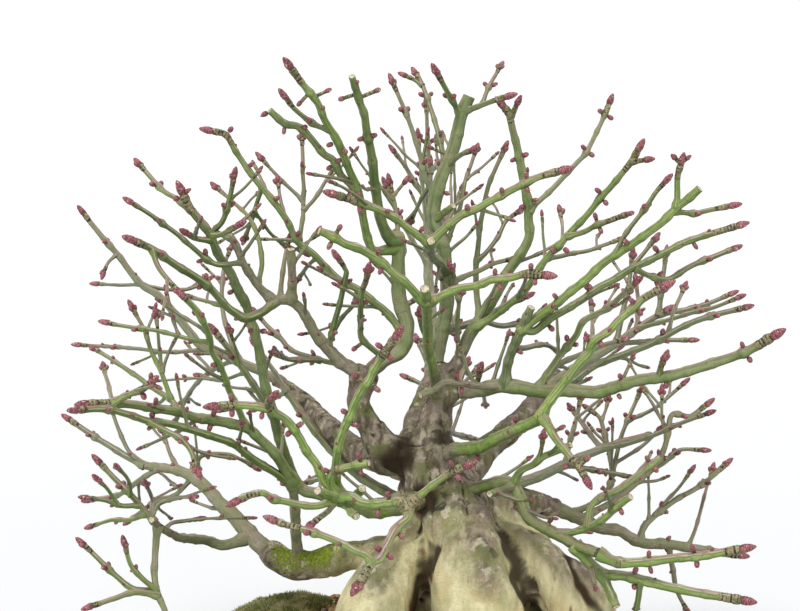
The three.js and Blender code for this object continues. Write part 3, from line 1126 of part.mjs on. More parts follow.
function buildBonsai() {
  const bonsai = new THREE.Group();
  const addPiece = (name, solid, material) => {
    const mesh = new THREE.Mesh(geometryOf(solid), MATERIALS[material]);
    mesh.name = name;
    bonsai.add(mesh);
  };
  const stems = measuredStems();
  growHiddenSprays(stems);
  const buds = allBuds(stems);
  const wood = woodSolid(stems, 0);
  const woodWithGap = woodSolid(stems, GAP);
  const screenRoom = SCREEN_SIDE + 2 * GAP;
  const clipTop = SCREEN_TOP + 2 * (GAP + CLIP_WIRE);
  const clipRoom = [2 * (SLOT_PITCH + CLIP_WIRE + GAP), 2 * (CLIP_WIRE + GAP)];
  const rooms = DRAIN_PLACES.flatMap((x) => [
    boxAt(x, 0, 0, SCREEN_TOP + GAP, screenRoom, screenRoom),
    boxAt(x, 0, 0, clipTop, ...clipRoom),
  ]);
  addPiece('pot', potSolid(), 'stoneware');
  addPiece('soil', largest(soilSolid(0).subtract(fuse(rooms)).subtract(woodWithGap)), 'soil');
  DRAIN_PLACES.forEach((x, i) => {
    addPiece(`drain_screen_${i + 1}`, screenSolid(x), 'screen_plastic');
    addPiece(`screen_clip_${i + 1}`, clipSolid(x), 'clip_wire');
  });
  addPiece('trunk_and_limbs', wood, 'bark');
  const raisedSoil = soilSolid(GAP);
  MOSS.forEach((patch, i) => {
    addPiece(`moss_cushion_${i + 1}`, mossSolid(patch, raisedSoil, woodWithGap), 'moss');
  });
  const nodes = [...new Set([...stems.values()].map((stem) => stem.node))];
  nodes.filter((node) => node !== 'trunk_and_limbs').forEach((node) => {
    addPiece(node, spraySolid(node, stems, buds, woodWithGap), 'green_wood');
  });
  const middle = new THREE.Box3().setFromObject(bonsai).getCenter(new THREE.Vector3());
  bonsai.position.set(-middle.x, -middle.y, 0);
  return bonsai;
}

export default buildBonsai();
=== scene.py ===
# Winged euonymus bonsai in winter: the fine pieces, materials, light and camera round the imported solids
import json
import math

import bpy
import numpy as np
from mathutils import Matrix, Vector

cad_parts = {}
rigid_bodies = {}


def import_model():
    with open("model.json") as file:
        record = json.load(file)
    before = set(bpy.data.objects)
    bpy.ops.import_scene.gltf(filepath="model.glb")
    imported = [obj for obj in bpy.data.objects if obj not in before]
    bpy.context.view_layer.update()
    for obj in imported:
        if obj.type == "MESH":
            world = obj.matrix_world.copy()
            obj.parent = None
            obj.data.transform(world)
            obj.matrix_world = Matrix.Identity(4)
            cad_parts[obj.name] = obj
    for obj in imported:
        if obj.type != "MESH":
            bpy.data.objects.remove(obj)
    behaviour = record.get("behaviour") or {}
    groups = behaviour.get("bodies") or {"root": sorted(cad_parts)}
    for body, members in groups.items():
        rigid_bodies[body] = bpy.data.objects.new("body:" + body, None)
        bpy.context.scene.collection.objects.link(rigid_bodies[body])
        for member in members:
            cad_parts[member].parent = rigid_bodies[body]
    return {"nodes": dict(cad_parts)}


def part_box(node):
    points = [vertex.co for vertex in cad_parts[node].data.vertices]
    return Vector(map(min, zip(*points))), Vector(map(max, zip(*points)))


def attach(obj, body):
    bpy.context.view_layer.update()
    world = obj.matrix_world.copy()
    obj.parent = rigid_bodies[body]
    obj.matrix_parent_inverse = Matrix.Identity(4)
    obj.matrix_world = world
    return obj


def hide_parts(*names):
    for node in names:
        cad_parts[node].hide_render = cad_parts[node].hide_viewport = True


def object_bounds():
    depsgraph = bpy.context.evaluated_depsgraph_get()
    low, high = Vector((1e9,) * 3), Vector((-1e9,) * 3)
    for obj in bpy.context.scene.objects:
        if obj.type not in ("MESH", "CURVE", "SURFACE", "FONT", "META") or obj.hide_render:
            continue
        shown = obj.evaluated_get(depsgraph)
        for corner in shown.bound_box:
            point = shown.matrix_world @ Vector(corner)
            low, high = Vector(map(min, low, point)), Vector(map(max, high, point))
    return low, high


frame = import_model()
CAD_BOUNDS = [list(corner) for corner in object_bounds()]

# The crown is worked out in millimetres round the pot's centre, and then moved and scaled to the frame
MM = 0.001
POT_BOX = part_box("pot")
SHIFT = np.array([(POT_BOX[0][0] + POT_BOX[1][0]) / 2, (POT_BOX[0][1] + POT_BOX[1][1]) / 2, 0.0]) / MM

# The view that the crown was measured in: picture pixels, at a known distance and pitch
VIEW_PITCH = math.radians(11)
VIEW_DISTANCE = 620
VIEW_FOCAL_PX = 1879
VIEW_CENTRE_PX = (400, 305.5)
VIEW_TARGET = np.array([-4.9, 0.0, 159.0])
VIEW_BACK = np.array([0.0, -math.cos(VIEW_PITCH), math.sin(VIEW_PITCH)])
VIEW_UP = np.array([0.0, math.sin(VIEW_PITCH), math.cos(VIEW_PITCH)])
VIEW_RIGHT = np.array([1.0, 0.0, 0.0])
PICTURE_WIDTH_PX = 800

# The solids' own dimensions and rules of growth in millimetres, as the part's source has them, so that the
# same stems come out here as there
POT_LENGTH = 176
POT_DEPTH = 130
POT_HEIGHT = 37
POT_WALL = 6
POT_FLOOR = 5
LIP_WIDTH = 3
LIP_HEIGHT = 7
FOOT_HEIGHT = 6
FOOT_LENGTH = 26
FOOT_DEPTH = 16
FOOT_PLACE = (40, 28)
FOOT_TURN = 0.42
DRAIN_RADIUS = 9
DRAIN_SPACING = 62
SOIL_EDGE = 34
SOIL_CROWN = 52
MOUND_FULLNESS = 0.6
GAP = 0.3
TRUNK_FORK_RADIUS = 13
ROOT_DEPTH = 34
ROOT_SWAY = 5
ROOT_WAVE = 0.08
FLARE_X = 20
FLARE_LEAN = 10
FLARE_BACK = 1.2
FLARE_FOOT = 40
FLARE_RISE = 60
BUD_LENGTH = 3.1
BUD_RADIUS = 0.95
TIP_BUD_SLENDERNESS = 3.7
BUD_SPACING = 19
HIDDEN_BUD_SPACING = 24
BUD_PAIRS = 2
HIDDEN_BUD_PAIRS = 1
FIRST_PAIR = 0.6
LAST_PAIR = 6
BUD_LEAN = 0.9
TWIG_CLEARANCE = 1.6
HIDDEN_SEAT = 19
HIDDEN_ARM_RADIUS = 2.2
HIDDEN_TIP_RADIUS = 1.1
HIDDEN_TWIG_RADII = (1.0, 0.75)
HIDDEN_TWIG_LENGTH = (20, 40)
HIDDEN_TWIG_TURN = (32, 66)
HIDDEN_TWIG_LIFT = (-10, 16)
HIDDEN_TWIG_LAST = 0.96
HIDDEN_TWIG_RANGE = 0.62
LIMB_SEAT = 6
TWIG_TRIES = 10
SAMPLES_PER_SPAN = 4
PUSH_ROUNDS = 60
PUSH_REACH = 3
PUSH_SHARE = 0.6
PUSH_EXTRA = 0.1
PUSH_ALONE = 1.6
SAME_SPRAY_CLEARANCE = 0.5
SHARED_ROOT = 7

# The trunk's own line, from below the soil to the fork: x, y, z and radius
TRUNK_LINE = [
    (21, 3, 36, 18), (20, 2, 50, 24), (18, 1, 62, 21.5), (16, 0, 74, 19),
    (13.5, 0, 87, 17), (8, 0, 98, 15.5), (4, 0, 106, 13), (1, 0, 112, 8),
]

# The lobes of the root flare: heading in degrees, spread, height of the top and girth
ROOT_LOBES = [
    (204, 45, 82, 13), (273, 27, 97, 16), (330, 47, 85, 11.5), (12, 40, 78, 10),
    (50, 37, 86, 12), (92, 34, 88, 12), (132, 37, 84, 12), (170, 38, 78, 10),
]

# How each lobe runs: shares of its spread, of its fall and of its girth
LOBE_RUN = [
    (0.12, 0, 0.35), (0.42, 0.12, 0.72), (0.66, 0.3, 0.97), (0.81, 0.5, 1.05),
    (0.91, 0.7, 1), (0.98, 0.87, 0.75), (1.02, 1, 0.4),
]

# The woody limbs, which grow from the trunk.
# Each row: name, parent, root and tip radius, lean, end, route in the view, then the buds in the view.
# Lean is how much further from the eye the tip is than the root, in millimetres.
# Routes and buds are x and y in turn, in pixels of the view.
# The end is cut, or bud (a bud on the tip and pairs along the twig), or tip (a bud on the tip alone).
LIMBS = """
left_limb trunk 6.8 4.4 -4 cut 405 478 390 452 375 432 360 408 359 386;
right_limb trunk 6.6 4.4 5 cut 425 475 432 440 437 410 444 388;
mossy_limb trunk 7.5 4.6 6 cut 425 552 385 553 350 555 320 562 295 566 275 556;
brown_limb trunk 5 3.2 26 cut 450 505 490 500 520 497 550 507;
back_left_limb trunk 6 3 60 cut 400 490 360 452 318 415 285 385;
back_limb trunk 6 3 62 cut 415 490 412 440 430 385 436 335;
back_right_limb trunk 6 3 64 cut 440 495 480 455 520 420 556 372;
"""

# The sprays. The first stem of each grows from a limb or the trunk, which holds its first seat millimetres.
SPRAYS = {
    "spray_upper_left": (7, """
grey_arm left_limb 2.5 1.45 -12 cut 359 386 357 373 341 362 324 344 310 324 300 308 288 300 272 300;
grey_arm_tip grey_arm 1.39 1.21 -8 cut 272 300 258 285 243 262 236 246 230 236;
grey_arm_knob grey_arm 1.39 1.39 -5 cut 290 300 292 275 291 250;
arm_twig_long grey_arm 1.39 1.11 -32 bud 275 300 262 312 246 318 233 311 221 300 208 286 190 274 170 261
152 249 134 241;
arm_twig_cross arm_twig_long 0.85 0.7 -5 bud 150 248 159 268 170 282 177 290;
arm_twig_far grey_arm 0.9 0.7 24 bud 341 362 328 362 294 351 280 338 268 327 257 314;
arm_twig_small arm_twig_far 0.8 0.7 -12 bud 322 362 310 360 288 359 273 353;
tip_twig_left grey_arm_tip 0.85 0.65 -14 bud 243 262 221 265 208 260 198 252 177 234 154 217 132 203;
tip_twig_up grey_arm_tip 0.9 0.7 -4 bud 231 238 215 231 222 222 229 201 234 177;
arm_shoot grey_arm 0.9 0.8 -14 bud 327 348 345 280 345 269 338 258;
arm_far_up grey_arm 0.85 0.6 14 tip 282 300 281 285 284 262 289 240;
arm_far_side arm_twig_long 0.8 0.6 16 tip 246 318 232 309 212 303 190 297;
tip_far grey_arm_tip 0.8 0.6 22 tip 258 285 262 262 258 238 248 217 234 203 217 188;
"""),
    "spray_crest_left": (8, """
crest_arm left_limb 3 2.3 6 cut 360 388 380 362 402 349 407 325 400 300 398 270 400 240;
crest_long crest_arm 1.39 0.95 -6 bud 405 337 387 313 374 302 358 289 342 281 327 268 314 254 299 243 287
222 273 201 262 188 247 168 235 150 226 135 212 131 with 252 164 276 199 298 234 231 129;
crest_long_drop crest_long 0.7 0.6 12 bud 262 188 254 211 250 225 245 238;
crest_long_drop_twig crest_long_drop 0.65 0.6 6 bud 254 211 270 233 285 246;
crest_tall crest_arm 1.56 1.08 -32 bud 399 246 386 250 373 250 367 236 363 215 358 190 349 169 338 142 325
120 317 102 302 83 291 68 with 299 104 329 90 343 150 329 145;
crest_cut crest_tall 1.27 1.14 -11 cut 357 188 342 176 333 160 324 154 310 137 298 127 285 124 270 111
with 263 115 284 131 303 128 337 162 329 168;
crest_knob crest_tall 0.9 0.8 -4 bud 331 131 314 124 296 110 286 98;
crest_middle crest_arm 1.94 1.11 -36 cut 400 243 390 238 384 228 380 215 377 198 374 176 372 156 368 137
365 116 360 102 355 86 352 77 with 341 99 378 90 372 136 361 139;
crest_dark crest_arm 0.9 0.6 4 bud 400 242 398 231 396 212 393 196 390 183;
crest_dark_fork crest_dark 0.6 0.55 2 bud 393 197 399 190 404 183;
crest_front_shoot crest_arm 1.08 0.85 -26 bud 385 358 374 350 362 338 361 324 361 306 362 292 366 281 368
271 with 357 302 366 302 354 349;
crest_far_up crest_long 0.8 0.6 26 tip 300 243 303 211 303 170 302 138;
crest_far_left crest_far_up 0.7 0.55 6 tip 303 200 278 176 262 159;
crest_far_right crest_far_up 0.7 0.55 8 tip 303 214 315 198 334 168;
crest_far_small crest_long 0.6 0.5 10 tip 287 222 281 205 278 182;
crest_long_low crest_long 0.7 0.6 8 tip 316 256 308 266 298 279;
crest_long_down crest_long 0.75 0.6 16 tip 360 290 353 305 341 319 331 339;
crest_arm_stub crest_arm 0.9 0.7 4 tip 403 308 410 303 417 298;
"""),
    "spray_crest": (13, """
crown_arm right_limb 2.6 2.1 2 cut 443 391 438 372 437 355 442 330 447 300 446 270 443 245 434 220 436 198
442 176 449 161 456 140 461 117 469 97 with 429 147 444 193;
crown_tip_left crown_arm 1.08 0.95 -8 bud 461 117 452 100 446 89 437 73;
crown_tip_right crown_arm 1.08 0.95 -6 bud 464 110 482 105 496 100 506 97;
crown_tip_far crown_tip_right 0.7 0.6 16 bud 483 105 491 82 500 67;
crown_side crown_arm 1 0.85 -9 bud 448 163 460 156 472 150;
crown_stub crown_arm 1.21 1.14 -6 cut 436 220 453 206;
crown_back crown_arm 1.08 0.75 16 bud 437 228 432 190 426 180 421 159 412 128 400 99 393 83;
crown_back_fork crown_arm 0.9 0.7 30 bud 444 172 442 148 433 116 423 86 416 74;
crown_back_head crown_back_fork 0.7 0.6 4 bud 424 88 415 80 406 76;
crown_node crown_arm 1.74 1.45 -44 cut 446 272 438 262 430 252 431 241;
crown_left crown_node 1.33 1.11 -12 bud 431 243 418 235 408 228 394 218 374 208 355 201 346 198 336 195
with 422 229 386 212 359 195 361 209;
crown_right crown_node 1.33 1.11 -10 bud 431 243 437 236 449 225 463 214 478 208 492 200 512 189 520 185
535 178 548 174 560 171 with 467 209 502 192 526 175 527 189;
crown_back_low crown_back 0.7 0.6 6 tip 430 188 424 195 411 221;
crown_far crown_arm 0.8 0.6 32 tip 446 250 452 230 460 208 466 180 476 150;
crown_level crown_arm 1 0.7 10 tip 446 284 465 276 480 270 495 263 512 259;
crown_low_twig crown_arm 0.9 0.8 -8 tip 438 350 428 341 422 328 420 315;
level_arm crown_arm 1.33 0.9 12 tip 442 330 461 326 482 320 505 306 525 297;
level_low level_arm 0.95 0.8 10 tip 482 320 500 326 520 323 540 318;
"""),
    "spray_crest_front": (8, """
front_arm right_limb 1.94 1.45 -56 cut 440 398 434 372 428 346 428 330 427 313 426 302 425 289;
front_left front_arm 1.39 1.27 -12 cut 426 302 419 297 408 285 394 274 380 261 362 250 345 244 334 237 320
231 with 340 227 329 247 378 253 381 270;
front_right front_arm 1.39 1.14 -16 bud 426 302 435 299 447 293 461 288 478 285 492 279 503 278 514 277
527 274 543 275 with 495 272 500 288 535 281 531 266;
"""),
    "spray_upper_right": (14, """
right_arm right_limb 2.2 1.08 4 bud 445 391 455 366 468 338 480 318 495 295 508 272 521 253 529 236 529
221 529 205 527 196 523 176 518 151 513 131 509 114 504 107 with 525 155 513 160 534 200 522 207;
right_arm_fork right_arm 0.9 0.8 -3 bud 510 117 514 110 517 104;
right_thin right_arm 0.8 0.6 -12 bud 459 356 458 324 459 303 457 285 451 268;
right_tall right_arm 1 0.8 14 bud 529 212 536 204 548 193 562 179 578 162 587 151 598 130 605 114 609 104
with 583 147 592 155 600 111 611 118;
right_long right_arm 1.39 1 -22 bud 475 327 495 315 525 290 546 259 560 245 570 233 587 215 601 197 609
189 623 172 631 162 638 150 with 555 249 567 251 606 203 597 190;
right_long_fork right_long 0.9 0.8 -4 bud 630 163 638 161 645 160;
right_long_side right_long 1 0.85 -13 bud 567 237 584 232 598 225 616 218 628 214 with 595 215 601 231;
right_mid right_arm 1.08 0.7 18 tip 480 318 476 290 476 267 479 238 482 214 489 184 504 150;
right_mid_side right_mid 0.8 0.6 10 tip 477 262 486 253 498 237 506 221 518 212;
right_far_level right_long 0.75 0.6 20 tip 546 259 562 256 590 250 618 240;
right_far_small right_long 0.65 0.55 10 tip 563 243 562 225 560 212;
"""),
    "spray_right": (8, """
long_arm right_limb 2.7 1.45 -36 bud 443 396 462 391 480 390 500 386 521 388 542 391 573 391 598 392 619
386 640 380 668 376 704 366 745 352 772 337 with 619 396 620 376 666 386 742 344 750 360;
long_arm_up long_arm 0.9 0.85 -3 bud 660 377 660 368 664 359;
long_arm_stub long_arm 1.14 1.08 -20 cut 498 387 480 386 461 383 444 383 433 390 421 395 with 462 392 457
376;
rise long_arm 1.56 1.33 -10 cut 503 386 508 362 515 344 522 327 531 308 with 509 333 520 352;
rise_left rise 1.45 1.33 -20 cut 522 333 542 314 556 304 570 292 584 281 601 265 619 253 633 243 647 233
662 222 676 208 689 198 699 189 with 627 243 590 287 555 296;
rise_up rise_left 0.95 0.85 -4 bud 677 207 677 197 678 176 681 164 with 673 156 689 157;
rise_side rise_left 0.9 0.8 -4 bud 673 211 695 213 704 211 730 206;
rise_brown rise_left 0.85 0.7 -9 bud 615 255 626 233 640 215 647 205 655 193 665 182;
rise_right rise 1.27 1 4 bud 524 329 534 331 549 319 563 311 584 298 598 288 616 279 630 270 646 262 665
252 681 244 704 236 737 226 with 586 287 552 329 655 248 696 247;
rise_low rise_right 0.95 0.8 12 bud 636 268 650 276 668 279 688 267 704 260 733 249;
long_arm_front long_arm 1.27 1 6 bud 538 391 550 370 566 348 576 335 584 321 605 310 620 297 634 284;
long_arm_rear long_arm 1.27 0.9 14 bud 547 392 574 381 584 373 598 364 627 353 654 342 682 327 704 318 743
308;
rear_up long_arm_rear 0.75 0.6 16 tip 664 338 669 330 675 309 684 288;
long_arm_knob long_arm 0.9 0.8 -3 tip 474 390 478 378 480 371;
long_arm_far long_arm 1.08 0.7 22 tip 538 390 553 369 577 356 600 346 622 340;
rise_far rise 1 0.7 14 tip 513 350 525 348 545 344 558 352;
rise_right_twig rise_right 0.75 0.65 6 tip 630 270 643 254 654 240;
"""),
    "spray_right_front": (12, """
green_arm trunk 2.4 1.74 -62 cut 436 462 450 452 462 449 480 447 500 437 518 429 534 422 542 417 with 478
457 515 419;
green_up green_arm 1.39 1.11 -12 bud 541 418 548 404 560 388 571 374 580 362 590 351 593 341 608 331 619
320 630 311 643 299 653 293 662 288 with 632 301 640 313 586 339 602 345;
green_down green_arm 1.27 1 -9 bud 541 417 550 428 555 437 566 451 574 461 580 468 585 477 with 588 458
566 467 563 427;
"""),
    "spray_right_low_front": (8, """
low_arm trunk 2.2 1.74 -50 cut 480 485 497 482 513 485 521 500 528 517 546 528 563 538 578 546 598 553
with 551 519;
low_upper low_arm 1.56 1.21 -10 bud 596 552 616 562 640 562 675 558 704 555 741 549 with 649 553 651 571
692 547 697 565;
low_lower low_arm 1.74 1.33 -18 bud 574 544 590 563 605 574 626 576 654 583 675 588 704 594 741 600 with
636 569 634 586;
low_down low_lower 1.39 1.33 -8 cut 601 572 608 588 616 606;
low_inner low_arm 1.21 1.14 -12 cut 512 484 521 471 534 464 542 457 556 451 570 445;
low_inner_twig low_inner 0.7 0.6 -4 bud 537 461 541 450 543 437;
low_stub low_arm 1.27 1.21 -10 cut 513 486 503 489 490 494;
low_rise low_arm 1.21 1.14 -16 cut 560 536 578 531 592 525 606 516 618 505 630 497 with 621 511 611 503;
low_rise_far low_rise 1.14 1.08 6 cut 588 527 590 508 600 497 616 490 634 478 651 464 660 458 with 647 458
656 470;
low_drop low_lower 1 0.8 6 cut 640 580 638 596 635 614;
"""),
    "spray_right_low": (7, """
brown_arm brown_limb 2.6 1.27 20 bud 546 505 560 510 580 518 598 527 619 531 640 542 668 544 696 549 738
555;
brown_up brown_arm 1.14 0.9 16 bud 640 541 643 528 654 516 675 500 704 483 725 465;
brown_rise brown_arm 1.33 0.9 14 bud 585 520 592 513 615 500 640 480 660 458 668 435 672 415 690 416 706
405;
brown_rise_twig brown_rise 0.7 0.6 5 bud 667 440 662 415 662 393;
brown_rise_side brown_rise 0.8 0.7 5 bud 647 474 665 462 680 450 702 450;
grey_rise brown_arm 1.14 0.8 30 bud 572 515 600 500 610 485 612 465 604 432 600 418 590 410;
grey_rise_side grey_rise 0.8 0.7 14 bud 611 478 622 435 632 410 640 392;
grey_rise_tip grey_rise 0.7 0.6 4 bud 601 420 606 410 608 400;
grey_side_out grey_rise_side 0.75 0.6 4 tip 628 424 647 412 661 403 683 384;
grey_out grey_rise 0.75 0.6 4 tip 614 466 640 448 659 430;
brown_up_out brown_up 0.75 0.6 6 tip 654 516 662 505 677 489 690 472;
brown_far_up brown_arm 0.8 0.6 20 tip 690 548 697 524 706 490 712 470;
brown_drop brown_arm 1.08 0.8 10 tip 668 544 672 565 677 590 686 609;
"""),
    "spray_left_low": (7, """
mossy_arm mossy_limb 3.4 1.39 34 cut 279 559 270 552 255 540 235 518 215 497 200 482 185 473 165 468 145
466;
mossy_tip_up mossy_arm 1.21 0.9 12 bud 146 466 125 455 94 436 70 420;
mossy_tip_down mossy_arm 1.14 0.9 14 bud 160 467 140 480 118 495 90 500;
mossy_low mossy_arm 1.94 1.08 -4 cut 248 533 236 542 222 545 205 540 180 537 165 530 152 520;
mossy_low_up mossy_low 1 0.8 6 bud 154 521 140 505 120 484 100 463;
mossy_low_down mossy_low 1.21 1 -6 cut 160 526 156 545 154 570 157 590 165 611;
mossy_low_side mossy_low_down 0.9 0.7 6 bud 156 592 132 588 114 573 95 555 84 545;
mossy_low_hook mossy_low_down 0.9 0.7 -4 tip 156 588 142 578 131 564 125 545;
mossy_low_base mossy_low_down 1.08 0.7 -8 tip 158 594 135 592 115 598 92 606;
mossy_low_in mossy_low 0.7 0.55 10 tip 166 531 172 523 185 521 199 519;
mossy_up_in mossy_low_up 0.7 0.55 -8 tip 150 517 160 504 179 498 193 497;
mossy_up_level mossy_low_up 0.8 0.6 -10 tip 140 505 122 506 104 500 88 498;
mossy_up_low mossy_low_up 0.8 0.6 10 tip 146 512 130 520 112 520 92 526;
mossy_up_front mossy_low_up 0.75 0.6 -14 tip 130 494 128 480 118 468;
mossy_up_high mossy_low_up 0.75 0.6 8 tip 150 517 152 500 146 484;
mossy_level_up mossy_up_level 0.7 0.55 -8 tip 118 505 108 490 98 480;
mossy_side mossy_arm 0.9 0.8 10 bud 192 477 175 495 158 500 130 520;
mossy_far_up mossy_arm 0.8 0.6 8 tip 150 466 131 453 119 430 111 408;
mossy_far_short mossy_arm 0.75 0.6 10 tip 180 471 171 455 163 431;
mossy_far_bend mossy_arm 0.8 0.6 14 tip 203 484 198 466 204 455 230 455 254 467;
"""),
    "spray_left": (8, """
rise_low_left mossy_limb 2.1 1.56 -14 cut 300 565 297 545 296 525 295 505 292 482;
sweep rise_low_left 1.94 1.14 -46 bud 293 484 278 458 260 439 246 428 218 421 197 418 176 411 155 408 128
404 108 403 88 404 with 156 400 210 427 214 412 152 417;
sweep_up sweep 1.08 0.95 -6 bud 115 403 125 396 141 390 150 383 with 151 375 160 388 144 397;
sweep_low rise_low_left 1.33 0.9 -62 bud 292 488 277 474 262 465 245 453 232 443 211 436 190 429 169 423
148 421 127 414 106 409 78 410;
sweep_low_drop sweep_low 0.85 0.75 -8 bud 146 421 165 430 180 438 190 449 197 468;
tall_left sweep 1.21 1 -24 bud 244 428 238 408 229 390 224 376 218 363 211 351 210 339 204 324 196 310 187
300 179 292;
tall_left_side tall_left 0.7 0.6 10 bud 210 341 190 339 162 332 133 328 108 323;
sweep_far_up sweep 0.75 0.6 16 tip 112 403 109 388 104 368;
sweep_far sweep 0.9 0.6 30 tip 176 411 171 400 143 381 119 364 95 349;
sweep_far_rise sweep_far 0.8 0.6 10 tip 170 399 162 373 152 352 144 330 133 309;
sweep_far_fork sweep_far_rise 0.65 0.55 4 tip 163 372 159 341 156 316;
"""),
    "spray_left_middle": (10, """
middle_arm trunk 2.2 1.21 -28 bud 395 507 372 506 345 500 318 494 300 488 288 465 280 440 272 410 265 385
260 356 256 338 250 318 245 302 238 289 232 275 218 254 211 236 201 222 190 208 183 194 with 176 199 189
190 231 292 245 288 252 329 264 331;
middle_twig_left middle_arm 0.9 0.85 -6 bud 209 242 198 239 188 234;
middle_twig_right middle_arm 0.9 0.85 -6 bud 211 238 220 235 228 231 237 226;
middle_far middle_arm 0.9 0.7 16 bud 192 211 183 205 176 198 162 189 140 165;
middle_side middle_arm 1.14 1 10 bud 273 415 260 395 250 380 240 365 231 352 216 333;
middle_far_low middle_side 0.7 0.6 14 tip 245 373 222 380 200 376;
middle_small middle_side 0.6 0.5 -4 tip 240 365 236 350 230 331;
"""),
    "spray_front": (10, """
hub_arm trunk 2.8 2.4 -66 cut 412 512 385 510 360 506 337 497;
hub_stub_left hub_arm 1.33 1.33 -8 cut 338 498 326 494 318 491;
hub_stub_right hub_arm 1.33 1.27 -10 cut 350 502 357 494 362 489;
hub_stub_low hub_arm 1.27 1.21 -10 cut 344 500 350 510 356 516;
hub_shoot hub_arm 1.21 1.08 -8 cut 338 497 331 482 334 472 344 468 359 465 368 463 with 359 455 361 473
325 470;
hub_tall hub_arm 1.39 1.14 -10 bud 342 499 336 480 336 462 338 450 342 433 348 419 356 401 363 388 369 380
374 369 380 359 388 348 395 338 with 345 412 355 425 355 375 378 390 378 345 391 358;
hub_long hub_arm 1.45 1.08 -8 bud 338 498 332 489 324 481 317 465 307 451 299 436 288 421 274 412 260 407
245 405 232 405 218 406 with 290 432 301 424 262 415 232 414 231 396;
hub_long_twig hub_long 0.9 0.85 -4 bud 274 411 267 405 272 398;
hub_left hub_arm 1.21 1 -6 bud 338 498 324 504 310 506 288 502 274 499 263 493 250 495 239 500;
hub_short hub_arm 0.9 0.8 -4 bud 338 499 330 509 320 517 312 524;
hub_right hub_arm 1.39 1.27 -14 cut 340 498 352 497 363 503 374 505 387 503 398 502 409 506 with 378 512
388 494;
hub_right_up hub_right 1.14 0.95 -6 bud 407 506 416 499 428 489 442 478 454 471 464 467 with 451 463 458
477;
hub_right_down hub_right 1.27 1.08 -18 bud 406 505 408 517 400 525 393 534 387 545 380 558 372 563 365 575
359 584 with 401 536 377 548 390 557;
hub_right_low hub_right_down 1.08 0.9 5 bud 372 563 366 555 356 551 338 542 321 535 299 528 287 525 276
521;
"""),
    "spray_back_left": (6, """
far_arm back_left_limb 1.94 0.9 14 bud 285 385 262 372 240 362 218 352 200 345 190 332 175 314 158 295 141
284 117 254 95 228 84 214;
far_out far_arm 0.75 0.6 4 tip 141 285 120 285 98 284;
far_in far_arm 0.75 0.6 10 tip 144 285 156 288 175 290 192 288 207 280;
far_flat far_arm 0.85 0.6 6 bud 209 349 190 351 167 352 135 348 95 346 80 345;
far_small far_arm 0.65 0.55 -6 tip 117 254 108 262 104 272;
far_rear far_arm 1 0.7 34 bud 240 362 228 330 222 300 224 268 230 250;
far_rear_low far_arm 1 0.7 36 bud 232 358 210 372 190 392 176 420;
"""),
}

# How the names of all the sprays behind the crown start
HIDDEN = "spray_back"

# Routes that the view doesn't show, behind the crown, which grow by the rule below.
# Each row: node, parent, seed, height of the root on the trunk, azimuth and rise in degrees, length, twigs.
HIDDEN_SPRAYS = [
    ("spray_back", "back_limb", 23, 0, 98, 52, 74, 8),
    ("spray_back_right", "back_right_limb", 37, 0, 30, 30, 56, 7),
    ("spray_back_low_left", "trunk", 41, 80, 146, 12, 88, 6),
    ("spray_back_low_right", "trunk", 53, 86, 44, 14, 88, 6),
    ("spray_back_low", "trunk", 67, 92, 97, 20, 80, 6),
]


def unit(vector):
    return vector / np.linalg.norm(vector, axis=-1, keepdims=True)


# How far along a line each of its points is
def lengths_along(points):
    return np.concatenate([[0.0], np.cumsum(np.linalg.norm(np.diff(points, axis=0), axis=1))])


# How far a value has gone from one limit to the other, from 0 to 1
def ramp(value, low, high):
    return np.clip((value - low) / (high - low), 0, 1)


# A hump round 0 that is 1 high and nearly nothing past twice its width
def hump(value, width):
    return np.exp(-(value / width) ** 2)


# Random numbers that come out the same in every run
class Draw:
    def __init__(self, seed):
        self.state = seed

    def between(self, low, high):
        self.state = (self.state * 1664525 + 1013904223) % 4294967296
        return low + (high - low) * self.state / 4294967296


# A point of the measured view, at a given depth y, as a point in space
def from_view(px, py, y):
    eye = VIEW_TARGET + VIEW_BACK * VIEW_DISTANCE
    across, up = px - VIEW_CENTRE_PX[0], VIEW_CENTRE_PX[1] - py
    ray = (VIEW_RIGHT * across + VIEW_UP * up) / VIEW_FOCAL_PX - VIEW_BACK
    return eye + ray * ((y - eye[1]) / ray[1])


# Where points in space show in the measured view, in pixels
def to_view(points):
    offset = points - VIEW_TARGET
    scale = VIEW_FOCAL_PX / (VIEW_DISTANCE - offset @ VIEW_BACK)
    px = VIEW_CENTRE_PX[0] + offset[:, 0] * scale
    py = VIEW_CENTRE_PX[1] - (offset @ VIEW_UP) * scale
    return np.stack([px, py], axis=1)


# Points on the smooth curve through control points
def curve_points(control, per_span):
    ends = np.vstack([2 * control[0] - control[1], control, 2 * control[-1] - control[-2]])
    count = per_span * (len(control) - 1)
    place = np.arange(count + 1) / count * (len(control) - 1)
    span = np.minimum(place.astype(int), len(control) - 2)
    part = (place - span)[:, None]
    before, first, second, after = (ends[span + k] for k in range(4))
    slope_a, slope_b = (second - before) / 2, (after - first) / 2
    return (first + slope_a * part + (3 * (second - first) - 2 * slope_a - slope_b) * part ** 2
            + (2 * (first - second) + slope_a + slope_b) * part ** 3)


